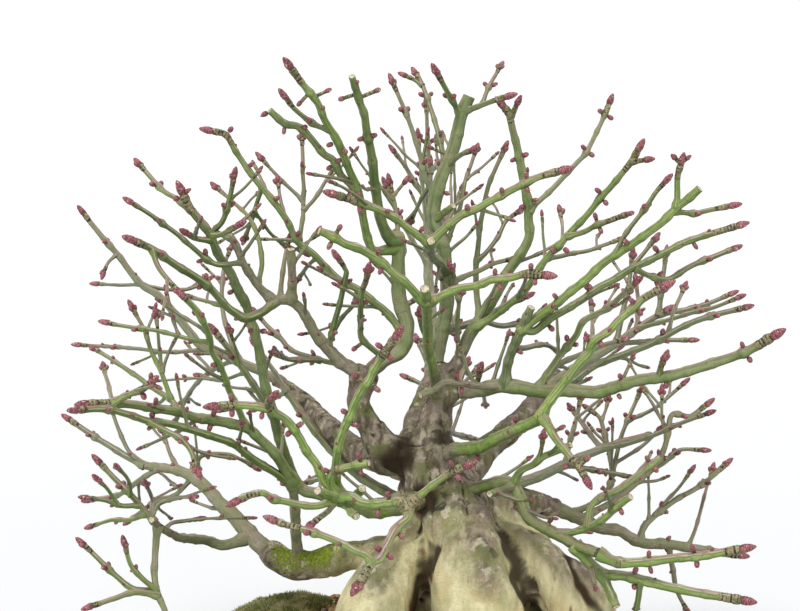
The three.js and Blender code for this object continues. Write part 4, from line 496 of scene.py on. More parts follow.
class Stem:
    def __init__(self, name, node, parent, seat, root_radius, tip_radius, end):
        self.name, self.node, self.parent, self.seat = name, node, parent, seat
        self.root_radius, self.tip_radius, self.end = root_radius, tip_radius, end
        self.lean, self.route, self.buds, self.push = 0, np.zeros((0, 2)), [], np.zeros(0)
        self.fixed, self.tip_bud, self.version = True, False, 0

    def follow(self, control):
        self.control = control
        self.points = curve_points(control, SAMPLES_PER_SPAN)
        self.distances = lengths_along(self.points)
        self.length = self.distances[-1]
        self.radii = self.root_radius + (self.tip_radius - self.root_radius) * self.distances / self.length
        margin = self.root_radius + TWIG_CLEARANCE
        self.low, self.high = self.points.min(axis=0) - margin, self.points.max(axis=0) + margin

    def nearest_in_view(self, px, py):
        away = ((to_view(self.points) - (px, py)) ** 2).sum(axis=1)
        return int(away.argmin())

    def place(self, stems):
        if self.fixed:
            return
        parent = stems[self.parent]
        root = parent.points[parent.nearest_in_view(*self.route[0])]
        reached = lengths_along(self.route)
        depth = root[1] + self.lean * reached / reached[-1] + self.push
        control = [root] + [from_view(*pixel, y) for pixel, y in zip(self.route[1:], depth[1:])]
        control = np.array(control)
        if self.version and np.array_equal(control, self.control):
            return
        self.follow(control)
        self.version += 1

    def at(self, distance):
        i = int(np.clip(np.searchsorted(self.distances, distance), 1, len(self.points) - 1))
        low, high = self.distances[i - 1], self.distances[i]
        part = min(max((distance - low) / (high - low), 0), 1)
        point = self.points[i - 1] * (1 - part) + self.points[i] * part
        radius = self.radii[i - 1] * (1 - part) + self.radii[i] * part
        return point, unit(self.points[i] - self.points[i - 1]), radius


# Whether two stems' boxes, with their margins, touch
def boxes_meet(a, b):
    return bool((a.low <= b.high).all() and (b.low <= a.high).all())


# The closest pass of two stems, apart from where they share a root: free gap and samples, or nothing
def closest_pass(a, b, clearance):
    related = a.parent == b.name or b.parent == a.name or a.parent == b.parent
    skip_a = a.seat + SHARED_ROOT if related and b.parent != a.name else 0
    skip_b = b.seat + SHARED_ROOT if related and a.parent != b.name else 0
    inside = ((a.points >= b.low) & (a.points <= b.high)).all(axis=1) & (a.distances >= skip_a)
    rows, columns = np.nonzero(inside)[0], np.nonzero(b.distances >= skip_b)[0]
    if not len(rows) or not len(columns):
        return None
    gaps = np.sqrt(((a.points[rows, None] - b.points[None, columns]) ** 2).sum(axis=2))
    gaps = gaps - a.radii[rows, None] - b.radii[None, columns]
    best = int(gaps.argmin())
    i, j = divmod(best, len(columns))
    return (gaps[i, j], rows[i], columns[j]) if gaps[i, j] < clearance else None


def push(stem, sample, amount):
    middle = sample / SAMPLES_PER_SPAN
    share = np.maximum(0, 1 - np.abs(np.arange(len(stem.push)) - middle) / PUSH_REACH)
    share[0] = 0
    stem.push = stem.push + amount * share


# Bends stems clear of each other along the line of sight, which keeps them where the view shows them
def bend_clear(stems):
    everyone = list(stems.values())
    known = {}
    for _ in range(PUSH_ROUNDS):
        moved = 0
        low, high = np.array([s.low for s in everyone]), np.array([s.high for s in everyone])
        meet = ((low[:, None] <= high[None]) & (low[None] <= high[:, None])).all(axis=2)
        for m, n in zip(*np.nonzero(np.triu(meet, 1))):
            a, b = everyone[m], everyone[n]
            if a.fixed and b.fixed:
                continue
            clearance = SAME_SPRAY_CLEARANCE if a.node == b.node else TWIG_CLEARANCE
            state = (a.version, b.version)
            if known.get((m, n), (None,))[0] != state:
                known[m, n] = (state, closest_pass(a, b, clearance))
            found = known[m, n][1]
            if not found:
                continue
            gap, i, j = found
            amount = (clearance - gap) * PUSH_SHARE + PUSH_EXTRA
            towards = -1 if a.points[i][1] < b.points[j][1] else 1
            if not a.fixed:
                push(a, i, towards * amount * (PUSH_ALONE if b.fixed else 1))
            if not b.fixed:
                push(b, j, -towards * amount * (PUSH_ALONE if a.fixed else 1))
            moved += 1
        for stem in everyone:
            stem.place(stems)
        if not moved:
            break


# One row of the tables, as a stem that isn't placed yet
def measured_stem(row, node, seat):
    shape, _, buds = " ".join(row.split()).partition(" with ")
    name, parent, root_radius, tip_radius, lean, end, *route = shape.split()
    stem = Stem(name, node, parent, seat, float(root_radius), float(tip_radius), end)
    stem.lean, stem.route = float(lean), np.array(route, float).reshape(-1, 2)
    stem.buds = np.array(buds.split(), float).reshape(-1, 2).tolist()
    stem.push, stem.fixed = np.zeros(len(stem.route)), False
    return stem


# All measured stems by name, the trunk and limbs first
def measured_stems():
    trunk_line = np.array(TRUNK_LINE, float)
    trunk = Stem("trunk", "trunk_and_limbs", "", 0, trunk_line[1, 3], TRUNK_FORK_RADIUS, "cut")
    trunk.follow(trunk_line[:, :3])
    spans = np.arange(len(trunk.points)) / SAMPLES_PER_SPAN
    trunk.radii = np.interp(spans, np.arange(len(trunk_line)), trunk_line[:, 3])
    stems = {"trunk": trunk}
    for row in LIMBS.split(";")[:-1]:
        limb = measured_stem(row, "trunk_and_limbs", 0)
        limb.place(stems)
        limb.fixed = True
        stems[limb.name] = limb
    for node, (seat, rows) in SPRAYS.items():
        for i, row in enumerate(rows.split(";")[:-1]):
            stem = measured_stem(row, node, seat if i == 0 else 0)
            stem.place(stems)
            stems[stem.name] = stem
    bend_clear(stems)
    for stem in stems.values():
        stem.fixed = True
    return stems


# A direction across a stem: level, or a quarter turn from that for every second pair
def across_stem(direction, pair):
    level = unit(np.cross((0, 0, 1), direction))
    return np.cross(level, direction) if pair % 2 else level


# A unit direction from its azimuth and rise, in degrees
def heading(azimuth, rise):
    a, r = math.radians(azimuth), math.radians(rise)
    return np.array([math.cos(a) * math.cos(r), math.sin(a) * math.cos(r), math.sin(r)])


# How a grown stem bends: millimetres a span, turn and lift of each span in degrees, and the steepest rise
GROWN_SPAN = 10
GROWN_TURN = (-9, 9)
GROWN_LIFT = (-5, 9)
STEEPEST = 80


# A stem that grows by rule from a root point, straight off and then bending upwards
def grown_stem(stem, root, azimuth, rise, length, draw):
    control = [root]
    spans = max(3, math.floor(length / GROWN_SPAN + 0.5))
    for _ in range(spans):
        azimuth += draw.between(*GROWN_TURN)
        rise += draw.between(*GROWN_LIFT)
        control.append(control[-1] + heading(azimuth, min(rise, STEEPEST)) * length / spans)
    stem.follow(np.array(control))
    return stem


# The sprays behind the crown: an arm each, with twigs in pairs that turn a quarter from pair to pair
def grow_hidden_sprays(stems):
    for node, parent_name, seed, height, azimuth, rise, length, twigs in HIDDEN_SPRAYS:
        draw = Draw(seed)
        parent = stems[parent_name]
        on_trunk = parent_name == "trunk"
        start = int(np.argmax(parent.points[:, 2] > height)) if on_trunk else len(parent.points) - 3
        seat = HIDDEN_SEAT if on_trunk else LIMB_SEAT
        arm = Stem(f"{node}_arm", node, parent_name, seat, HIDDEN_ARM_RADIUS, HIDDEN_TIP_RADIUS, "bud")
        stems[arm.name] = grown_stem(arm, parent.points[start], azimuth, rise, length, draw)
        for i in range(twigs):
            fraction = HIDDEN_TWIG_LAST - HIDDEN_TWIG_RANGE * (i // 2) / (twigs / 2)
            sample = math.floor(fraction * (len(arm.points) - 1) + 0.5)
            if arm.distances[sample] < arm.seat + 4:
                continue
            for _ in range(TWIG_TRIES):
                side = (1 if i % 2 == 0 else -1) * draw.between(*HIDDEN_TWIG_TURN)
                upright = (i // 2) % 2 == 0
                turn = azimuth + side * 0.4 if upright else azimuth + side
                lift = rise + side * 0.8 if upright else rise + draw.between(*HIDDEN_TWIG_LIFT)
                reach = draw.between(*HIDDEN_TWIG_LENGTH)
                twig = Stem(f"{node}_twig_{i}", node, arm.name, 0, *HIDDEN_TWIG_RADII, "bud")
                grown_stem(twig, arm.points[sample], turn, lift, reach, draw)
                if passes_clear(twig, stems):
                    stems[twig.name] = twig
                    break


# Whether a stem is clear of all others but its parent
def passes_clear(stem, stems, clearance=TWIG_CLEARANCE):
    return all(other.name == stem.parent or not boxes_meet(stem, other)
               or closest_pass(stem, other, clearance) is None for other in stems.values())


# Where along a bud its clearance is tried, and where its middle is
BUD_TRIALS = (0.35, 0.7, 1)
BUD_MIDDLE = 0.7


# Whether a bud is clear of the stems and buds of every other spray
def bud_is_clear(node, foot, tip, radius, stems, placed):
    spots = np.array([foot * (1 - part) + tip * part for part in BUD_TRIALS])
    low, high = spots.min(axis=0) - TWIG_CLEARANCE, spots.max(axis=0) + TWIG_CLEARANCE
    margin = radius + TWIG_CLEARANCE / 2
    for stem in stems.values():
        if stem.node == node or (stem.low > high).any() or (stem.high < low).any():
            continue
        away = np.linalg.norm(stem.points[:, None] - spots[None], axis=2)
        if (away < stem.radii[:, None] + margin).any():
            return False
    for other in placed:
        if other["node"] != node:
            middle = other["foot"] * (1 - BUD_MIDDLE) + other["tip"] * BUD_MIDDLE
            if (np.linalg.norm(spots - middle, axis=1) < other["radius"] + margin).any():
                return False
    return True


# The bud on a twig's tip: its radius, stouter on a stouter twig, and its length
TIP_BUD_RADIUS = (0.65, 0.55)


def tip_bud_size(stem):
    radius = TIP_BUD_RADIUS[0] + TIP_BUD_RADIUS[1] * stem.tip_radius
    return radius, radius * TIP_BUD_SLENDERNESS


# The buds that the solids have: those of the view, then pairs on the other twigs, and one on each live tip
def solid_buds(stems):
    placed = []

    def offer(stem, distance, foot, tip):
        if bud_is_clear(stem.node, foot, tip, BUD_RADIUS, stems, placed):
            placed.append({"node": stem.node, "stem": stem.name, "distance": distance, "foot": foot,
                           "tip": tip, "radius": BUD_RADIUS})

    for stem in stems.values():
        for px, py in stem.buds:
            sample = stem.nearest_in_view(px, py)
            foot = stem.points[sample]
            seen = from_view(px, py, foot[1] - BUD_RADIUS)
            reach = max(np.linalg.norm(seen - foot) + 1, stem.radii[sample] + 2.4)
            offer(stem, stem.distances[sample], foot, foot + unit(seen - foot) * reach)
        if stem.end != "cut":
            point, direction, _ = stem.at(stem.length)
            radius, length = tip_bud_size(stem)
            stem.tip_bud = bud_is_clear(stem.node, point, point + direction * length, radius, stems, placed)
        if stem.buds or stem.end != "bud":
            continue
        hidden = stem.node.startswith(HIDDEN)
        spacing = HIDDEN_BUD_SPACING if hidden else BUD_SPACING
        distance = stem.length - spacing * FIRST_PAIR
        for pair in range(HIDDEN_BUD_PAIRS if hidden else BUD_PAIRS):
            if distance <= stem.seat + LAST_PAIR:
                break
            point, direction, radius = stem.at(distance)
            across = across_stem(direction, pair)
            for side in (1, -1):
                out = unit(across * side + direction * BUD_LEAN)
                offer(stem, distance, point, point + out * (BUD_LENGTH + radius * 0.6))
            distance -= spacing
    return placed


# The twigs in front, which the view shows sharply
FRONT_NODES = ("spray_front", "spray_crest_front", "spray_right_front")
SHORT = "_short_"
SHORT_TWIG_SEED = 91
SHORT_TWIG_LENGTH = (9, 22)
SHORT_TWIG_SPACING = (13, 24)
SHORT_TWIG_RADII = (0.66, 0.42)
SHORT_TWIG_SHARE = 0.75
SHORT_TWIG_START = 0.7
SHORT_TWIG_FOOT = 7
SHORT_TWIG_LEAN = (0.6, 1.3)
BACKWARD = np.array([0, 0.4, 0])
BOX_MARGIN = 6

# The gap of the crown that the view looks through, and how far from it short twigs reach, in pixels
CROWN_GAP = (398, 402)
CROWN_SHARE = (50, 280)


# Whether a stem is inside the crown, and so inside the solids' box, and away from the crown's gap
def keeps_in(stem):
    offset = (stem.points + SHIFT) * MM - np.mean(CAD_BOUNDS, axis=0)
    inside = (np.abs(offset) < np.ptp(CAD_BOUNDS, axis=0) / 2 - BOX_MARGIN * MM).all()
    away = np.linalg.norm(to_view(stem.points) - CROWN_GAP, axis=1)
    return inside and away.min() > CROWN_SHARE[0] and away.max() < CROWN_SHARE[1]


# Short twigs along the stems behind the front, too fine for the solids
def grow_short_twigs(stems):
    draw = Draw(SHORT_TWIG_SEED)
    for stem in list(stems.values()):
        if stem.node in ("trunk_and_limbs", *FRONT_NODES):
            continue
        distance, pair = stem.length * SHORT_TWIG_START, 0
        while distance > stem.seat + SHORT_TWIG_FOOT:
            point, direction, radius = stem.at(distance)
            across = across_stem(direction, pair)
            side = 1 if draw.between(0, 1) < 0.5 else -1
            out = unit(across * side + direction * draw.between(*SHORT_TWIG_LEAN) + BACKWARD)
            thick = min(SHORT_TWIG_RADII[0], radius * SHORT_TWIG_SHARE)
            name = f"{stem.name}{SHORT}{pair}"
            twig = Stem(name, stem.node, stem.name, 0, thick, SHORT_TWIG_RADII[1], "bud")
            twig.tip_bud = True
            azimuth, rise = math.degrees(math.atan2(out[1], out[0])), math.degrees(math.asin(out[2]))
            grown_stem(twig, point, azimuth, rise, draw.between(*SHORT_TWIG_LENGTH), draw)
            if keeps_in(twig) and passes_clear(twig, stems, SAME_SPRAY_CLEARANCE):
                stems[twig.name] = twig
            distance -= draw.between(*SHORT_TWIG_SPACING)
            pair += 1


STEMS = measured_stems()
grow_hidden_sprays(STEMS)
BUDS = solid_buds(STEMS)
grow_short_twigs(STEMS)

# How finely twigs are drawn: spacing of their sections and points round them, near the front and behind
FRONT_STEP = 0.55
SIDE_STEP = 0.75
BACK_STEP = 0.95
RIDGES = 4
WOOD_STEP = 1.6
WOOD_SIDES = 14
VOXEL = 0.85
PLACES = 256


# Smooth random numbers from -1 to 1 over space, the same in every run
class Noise:
    def __init__(self, seed):
        table = np.random.default_rng(seed)
        self.order = table.permutation(PLACES)
        self.levels = table.uniform(-1, 1, PLACES)

    def one(self, points):
        cell = np.floor(points).astype(int)
        part = points - cell
        part = part * part * (3 - 2 * part)
        total = 0
        for corner in range(8):
            bits = np.array([corner & 1, corner >> 1 & 1, corner >> 2 & 1])
            x, y, z = (cell + bits).T % PLACES
            level = self.levels[self.order[(self.order[(self.order[x] + y) % PLACES] + z) % PLACES]]
            total = total + level * np.where(bits, part, 1 - part).prod(axis=-1)
        return total

    def at(self, points, size, octaves=1):
        total, share = 0, 1.0
        for octave in range(octaves):
            total = total + share * self.one(points / size * 2 ** octave + 17.3 * octave)
            share /= 2
        return total


# One piece's points and faces, with the numbers at each point that its material reads.
# A number that add isn't given for a layer is 0.
class Bag:
    def __init__(self, *layers):
        self.layers = layers
        self.points, self.faces, self.finishes, self.count = [], [], [], 0
        self.values = {layer: [] for layer in (*layers, "grain")}

    def add(self, points, faces, finish=0, grain=None, **values):
        points = points.reshape(-1, 3)
        for face in faces:
            self.faces.append(face.reshape(-1, face.shape[-1]) + self.count)
            self.finishes.append(np.full(len(self.faces[-1]), finish))
        self.points.append(points)
        self.values["grain"].append(points if grain is None else grain.reshape(-1, 3))
        for layer in self.layers:
            value = np.asarray(values.get(layer, 0.0), float).reshape(-1)
            self.values[layer].append(np.broadcast_to(value, len(points)))
        self.count += len(points)

    def piece(self, name, placing):
        points = placing(np.concatenate(self.points))
        return mesh_object(name, points, self.faces, np.concatenate(self.finishes))

    def build(self, name, materials, slot, *nodes):
        piece = self.piece(name, in_box)
        for layer in (*self.layers, "grain"):
            give_values(piece, layer, np.concatenate(self.values[layer]))
        return dress(piece, materials, slot, *nodes)


def in_frame(points):
    return (points + SHIFT) * MM


# Points in the frame, kept inside the solids' box
def in_box(points):
    return np.clip(in_frame(points), *CAD_BOUNDS)


def new_object(name, data):
    made = bpy.data.objects.new(name, data)
    bpy.context.scene.collection.objects.link(made)
    return made


def mesh_object(name, points, faces, finishes):
    mesh = bpy.data.meshes.new(name)
    sizes = np.concatenate([np.full(len(face), face.shape[1]) for face in faces])
    corners = np.concatenate([face.ravel() for face in faces])
    mesh.vertices.add(len(points))
    mesh.vertices.foreach_set("co", points.astype(np.float32).ravel())
    mesh.loops.add(len(corners))
    mesh.loops.foreach_set("vertex_index", corners.astype(np.int32))
    mesh.polygons.add(len(sizes))
    mesh.polygons.foreach_set("loop_start", (np.cumsum(sizes) - sizes).astype(np.int32))
    mesh.polygons.foreach_set("material_index", finishes.astype(np.int32))
    mesh.update(calc_edges=True)
    mesh.shade_smooth()
    return new_object(name, mesh)


def give_values(piece, name, values):
    vector = values.ndim == 2
    layer = piece.data.attributes.new(name, "FLOAT_VECTOR" if vector else "FLOAT", "POINT")
    layer.data.foreach_set("vector" if vector else "value", values.astype(np.float32).ravel())


# The mesh of a piece as its modifiers make it, without the piece itself
def made_mesh(piece):
    mesh = bpy.data.meshes.new_from_object(piece.evaluated_get(bpy.context.evaluated_depsgraph_get()))
    bpy.data.objects.remove(piece)
    mesh.materials.clear()
    return mesh


# Gives a piece its materials and body, and hides the solids of the nodes that it stands for
def dress(piece, materials, slot, *nodes):
    for material in materials:
        piece.data.materials.append(material)
    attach(piece, "root")
    if nodes:
        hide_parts(*nodes)
    return piece


# Angles all the way round
def turns(sides):
    return np.arange(sides) * 2 * np.pi / sides


# The same faces for each of many copies of a shape, which has so many points
def copied_faces(faces, count, size):
    return (faces[None] + (np.arange(count) * size)[:, None, None]).reshape(-1, faces.shape[1])


# Faces between rings of points, each with the same number round
def ring_faces(rings, sides):
    ring, side = np.meshgrid(np.arange(rings - 1), np.arange(sides), indexing="ij")
    after, near, far = (side + 1) % sides, ring * sides, (ring + 1) * sides
    return np.stack([near + side, near + after, far + after, far + side], axis=-1).reshape(-1, 4)


# A fan of triangles from one point to a ring of points
def fan_faces(centre, first, sides, flip=False):
    side = np.arange(sides)
    near, far = first + side, first + (side + 1) % sides
    return np.stack([np.full(sides, centre), *((far, near) if flip else (near, far))], axis=-1)


# Faces of rings that two further points close, one before the first ring and one after the last
def closed_faces(rings, sides):
    count = rings * sides
    first, last = fan_faces(count, 0, sides, True), fan_faces(count + 1, count - sides, sides)
    return [ring_faces(rings, sides), first, last]


# Places on a level after a turn round the middle
def turned(x, y, angle):
    return x * np.cos(angle) - y * np.sin(angle), x * np.sin(angle) + y * np.cos(angle)


# Two directions across a line at each of its points, without twist
def sides_along(points):
    forward = unit(np.gradient(points, axis=0))
    side = unit(np.cross(forward[0], (0.31, 0.57, 0.76)))
    found = np.empty_like(points)
    for i, direction in enumerate(forward):
        side = side - direction * (side @ direction)
        side = side / math.sqrt(side @ side)
        found[i] = side
    return forward, found, np.cross(forward, found)


# Points round a line: radii holds one row for each section
def sweep(points, radii, angles):
    forward, first, second = sides_along(points)
    round_x, round_y = radii * np.cos(angles), radii * np.sin(angles)
    skin = points[:, None] + round_x[..., None] * first[:, None] + round_y[..., None] * second[:, None]
    along = lengths_along(points)
    grain = np.stack([round_x, round_y, np.broadcast_to(along[:, None], round_x.shape)], axis=-1)
    return skin, grain


# Names and numbers in turn, as a table
def shares(text):
    words = text.split()
    return dict(zip(words[::2], map(float, words[1::2])))


# How far the wood of a stem has gone from green to grey, where it isn't told by its thickness
STEM_AGE = shares("""
grey_arm 0.85 grey_arm_tip 0.75 grey_arm_knob 0.85 brown_arm 0.8 brown_up 0.55 brown_rise 0.55
grey_rise 0.6 mossy_arm 0.7 mossy_low 0.55 rise_low_left 0.5 crest_dark 0.75 crest_dark_fork 0.75
crest_arm 0.5 crown_arm 0.35 long_arm_stub 0.85 rise_brown 0.5 right_thin 0.6 right_arm 0.3 hub_arm 0.45
crown_back 0.25 low_stub 0.5 mossy_low_down 0.7 mossy_low_base 0.6 right_mid 0.4 brown_drop 0.8
crown_level 0.5
""")

# How much of the sun side's red brown a stem has
STEM_RED = shares("""
front_right 0.95 front_left 0.7 crown_left 0.8 crown_right 0.75 hub_right_down 1.3 low_rise 0.8
low_rise_far 0.9 rise_brown 1.1 brown_arm 0.9 brown_rise 0.8 hub_left 0.8 hub_short 1.2
crest_front_shoot 0.7 rise_left 0.55 green_down 0.5 hub_long 0.6
""")

# What each point of a twig piece carries. Its buds use cut for how far along the bud a point is, dark for the
# row of scales, and scale for the wave of the scales' edges.
TWIG_LAYERS = ("age", "red", "ridge", "scar", "dark", "cut", "scale", "tint")

# Where the view shows swollen corky nodes, in pixels: x, y and reach
CORKY_NODES = [(411, 502, 13), (620, 555, 9), (449, 441, 8), (339, 472, 6), (432, 296, 5)]

# How twigs wander off their measured lines, and how many sections a line has at the least
WANDER = Noise(5)
WANDER_SIZE = 9
WANDER_WIDTH = 0.22
FINE_SAMPLES = 24
LEAST_SECTIONS = 6


# A twig's middle line, followed finely, with a slight wander that is nothing at its root and tip
def fine_line(stem, start, step):
    fine = curve_points(stem.control, FINE_SAMPLES)
    reached = lengths_along(fine)
    ratio = reached[-1] / stem.length
    count = max(LEAST_SECTIONS, int((reached[-1] - start * ratio) / step))
    along = np.linspace(start * ratio, reached[-1], count)
    line = np.stack([np.interp(along, reached, fine[:, axis]) for axis in range(3)], axis=1)
    part = along / reached[-1]
    drift = np.stack([WANDER.at(line + apart, WANDER_SIZE, 2) for apart in (0, 31, 67)], axis=1)
    return line + WANDER_WIDTH * drift * np.sin(np.pi * part)[:, None], along / ratio


# Whether the view shows a stem sharply, or shows its buds
def is_front(stem):
    return stem.node in FRONT_NODES or bool(stem.buds)


# A quarter of a twig's section: the angle of each of its points, and how high it is on the quarter's ridge
FRONT_QUARTER = [(-15, 0.4), (0, 1.0), (15, 0.4), (45, 0.0)]
OTHER_QUARTER = [(-16, 0.35), (0, 1.0), (16, 0.35)]

# How long the ringed tip of a twig is, and how far apart its rings are
FRONT_RINGED = (5, 9)
OTHER_RINGED = (3, 5)
RING_SPACING = (1.1, 1.6)

# What a node does to a twig: how far behind the node, how wide and how strong each mark is
SWELLING = (0.3, 1.2, 0.2)
SCAR = (0.9, 0.7, 0.35)
DARK_LINE = (1.7, 0.28, 0.45)

# How much a twig widens where it leaves its parent, and how much cork widens it
COLLAR = 0.55
CORK = 0.2

# Grey spreads from the wood that a spray is grafted on, or from an older twig, so far along a twig
GREY_FROM_WOOD = 22
GREY_FROM_TWIG = 9
YOUNG_AGE = 0.2


# What a mark adds at points that are so far past its node
def mark(offset, shape):
    behind, width, strength = shape
    return strength * hump(offset + behind, width)


# How grey a twig's wood is along it, from 0 to 1
def wood_age(stem, parent, line, along, start):
    thick = min(max((stem.root_radius - 1.6) / 2.4, 0), 0.4) + 0.25 * ("far" in stem.name)
    age = STEM_AGE.get(stem.name, thick) * np.ones(len(along))
    if stem.seat > 0:
        age = np.maximum(age, ramp(along - start, GREY_FROM_WOOD, 0))
    elif parent.node == stem.node:
        age = np.maximum(age, STEM_AGE.get(parent.name, YOUNG_AGE) * ramp(along, GREY_FROM_TWIG, 0))
    return ramp(age + 0.12 * WANDER.at(line, 6, 2), 0, 1)


# One twig with its ridges, swollen nodes, ring scars and end
def add_stem(bag, stem, start, nodes, chance):
    front, live = is_front(stem), stem.end != "cut"
    step = FRONT_STEP if front else BACK_STEP if stem.node.startswith(HIDDEN) else SIDE_STEP
    line, along = fine_line(stem, start, step)
    quarter = FRONT_QUARTER if front else OTHER_QUARTER
    angles = np.radians([90 * k + turn for k in range(RIDGES) for turn, _ in quarter])
    ridge = np.tile([rise for _, rise in quarter], RIDGES)
    radius = np.interp(along, stem.distances, stem.radii)
    parent = STEMS[stem.parent]
    if stem.seat == 0:
        spread = max(parent.radii[parent.nearest_in_view(*to_view(stem.points[:1])[0])] * 0.7, 0.8)
        radius = radius * (1 + COLLAR * hump(np.maximum(0, along - spread), 1.5 * radius[0]))
    scar, dark, cork = np.zeros((3, len(along)))
    for distance in nodes:
        radius = radius + mark(along - distance, SWELLING)
        scar = np.maximum(scar, mark(along - distance, SCAR))
        dark = np.maximum(dark, mark(along - distance, DARK_LINE))
    for px, py, reach in CORKY_NODES if front else ():
        away = np.linalg.norm(to_view(line) - (px, py), axis=1)
        cork = np.maximum(cork, ramp(1.5 - away / reach, 0, 1))
    radius, scar = radius * (1 + CORK * cork), np.maximum(scar, 0.9 * cork)
    if live:
        zone = chance.uniform(*(FRONT_RINGED if front else OTHER_RINGED))
        ringed = ramp(along - stem.length + zone, 0, 0.8)
        rings = np.abs(((along - stem.length) / chance.uniform(*RING_SPACING)) % 1 - 0.5) * 2
        radius = radius * (1 + ringed * (0.08 - 0.1 * (rings > 0.72)))
        scar = np.maximum(scar, ringed * 0.8)
        dark = np.maximum(dark, ringed * ramp(rings - 0.6, 0, 0.25))
    age = wood_age(stem, parent, line, along, start)
    lift = np.clip(1 - age * 1.1, 0.15, 1) * np.clip(1 - scar, 0.3, 1) * np.clip(1.3 / radius, 0.2, 1)
    red = STEM_RED.get(stem.name, 0.35 + 0.35 * chance.uniform()) + 0 * age
    if live:
        red = red + 0.8 * ramp(stem.length - along, 28, 0)
    else:
        lift = lift * ramp(stem.length - along, 0, 3)
    lift = lift[:, None]
    square = np.where(ridge > 0.9, 0.09, np.where(ridge > 0.2, -0.02, -0.045))
    lumps = 0.03 + 0.1 * np.maximum(age, cork)
    tint = np.clip(chance.uniform(0.3, 0.75) - (line[:, 1].mean() + 10) / 110, 0, 0.75)
    if SHORT in stem.name:
        tint = tint * 0.5
    if stem.node in FRONT_NODES:
        tint = chance.uniform(0.72, 1)
    radii = radius[:, None] * (1 + lift * square)
    skin, _ = sweep(line, radii, angles)
    radii = radii * (1 + lumps[:, None] * WANDER.at(skin.reshape(-1, 3), 2.6, 2).reshape(radii.shape))
    skin, grain = sweep(line, radii, angles)
    rows = {"age": age, "scar": scar, "dark": dark, "red": red}
    bag.add(skin, [ring_faces(len(along), len(angles))], grain=grain + chance.uniform(0, 400), tint=tint,
            ridge=(lift * ridge).ravel(), **{name: np.repeat(row, len(angles)) for name, row in rows.items()})
    add_end(bag, stem, line, skin[-1], age[-1])


# The rings of a twig's end, its middle last: share of its width, rise, whether it is wood, how dark it is
SAWN_END = [(1.04, 0.0, 0, 0), (0.97, 0.3, 0, 0.9), (0.82, 0.26, 1, 0), (0.4, 0.18, 1, 0), (0, 0.14, 1, 0)]
LIVE_END = [(1.0, 0, 0, 0.3), (0.7, 0.35, 0, 0.8), (0, 0.45, 0, 0)]


# The end of a twig: a sawn face with a rim of bark, or a low dome that the end bud sits on
def add_end(bag, stem, line, last, age):
    out = unit(line[-1] - line[-2])
    centre = line[-1]
    sawn = stem.end == "cut"
    *rows, (_, rise, wood, black) = SAWN_END if sawn else LIVE_END
    rings = np.array([centre + (last - centre) * row[0] + out * row[1] for row in rows])
    sides = len(last)
    points = np.vstack([rings.reshape(-1, 3), centre + out * rise])
    cut = np.append(np.repeat([row[2] for row in rows], sides), wood)
    dark = np.append(np.repeat([row[3] for row in rows], sides), black)
    fan = fan_faces(len(points) - 1, (len(rows) - 1) * sides, sides)
    bag.add(points, [ring_faces(len(rows), sides), fan], cut=cut, dark=dark, age=age,
            scar=0.0 if sawn else 0.8, red=0.3, tint=0.5)


# How wide a bud is at places along its length: one on a twig's side, and one on a twig's tip
BUD_PLACES = [0, 0.12, 0.3, 0.5, 0.7, 0.85, 0.95, 1]
BLUNT = [0.6, 0.88, 1, 1, 0.9, 0.68, 0.4, 0]
POINTED = [0.6, 0.9, 1, 0.94, 0.76, 0.52, 0.28, 0]

# How far the edge of a scale waves up and down round a bud, in rows of scales
SCALE_WAVE = 0.32


# A scaly bud of unit length and radius: points, faces, where across its scale each point is, rows of scales
def bud_shape(rings, sides, rows, widths):
    places = np.linspace(0, 1, rings) ** 0.9
    width = np.interp(places, BUD_PLACES, widths)
    place, angle = np.meshgrid(places, turns(sides), indexing="ij")
    turn = np.where(np.floor(place * rows) % 2 == 0, 1, -1)
    scale = (place * rows + SCALE_WAVE * turn * np.cos(2 * angle)) % 1
    radii = width[:, None] * (1 + 0.13 * (scale - 0.5))
    points = np.stack([radii * np.cos(angle), radii * np.sin(angle), place], axis=-1)
    return points.reshape(-1, 3), ring_faces(rings, sides), np.cos(2 * angle).ravel(), rows


# By whether the twig is near the front, and whether the bud is on its tip
BUD_SHAPES = {
    (True, False): bud_shape(12, 10, 4.4, BLUNT), (True, True): bud_shape(15, 12, 5.4, POINTED),
    (False, False): bud_shape(7, 7, 3.4, BLUNT), (False, True): bud_shape(9, 7, 4.4, POINTED),
}


# All the buds of one spray, each a copy of the unit bud
def add_buds(bag, buds, shape, brown, chance):
    if not buds:
        return
    unit_points, faces, scale, rows = shape
    keys = ("base", "out", "length", "girth")
    feet, up, lengths, radii = (np.array([bud[key] for bud in buds]) for key in keys)
    side = unit(np.cross(up, (0.23, 0.41, 0.88)))
    other = np.cross(up, side)
    x, y, z = (unit_points[None, :, axis, None] for axis in range(3))
    lengths, radii = lengths[:, None, None], radii[:, None, None]
    points = feet[:, None] + side[:, None] * x * radii + other[:, None] * y * radii
    points = points + up[:, None] * z * lengths
    count, size, place = len(buds), len(unit_points), unit_points[:, 2]
    tint = np.repeat(chance.uniform(brown - 0.4, brown + 0.4, count), size)
    bag.add(points, [copied_faces(faces, count, size)], finish=1, grain=points - feet[:, None], tint=tint,
            scale=np.tile(scale, count), cut=np.tile(place, count), dark=np.tile(place * rows, count))


SPUR_SIDES = 8
SPUR_STEP = 0.3
SPUR_RING = 0.8


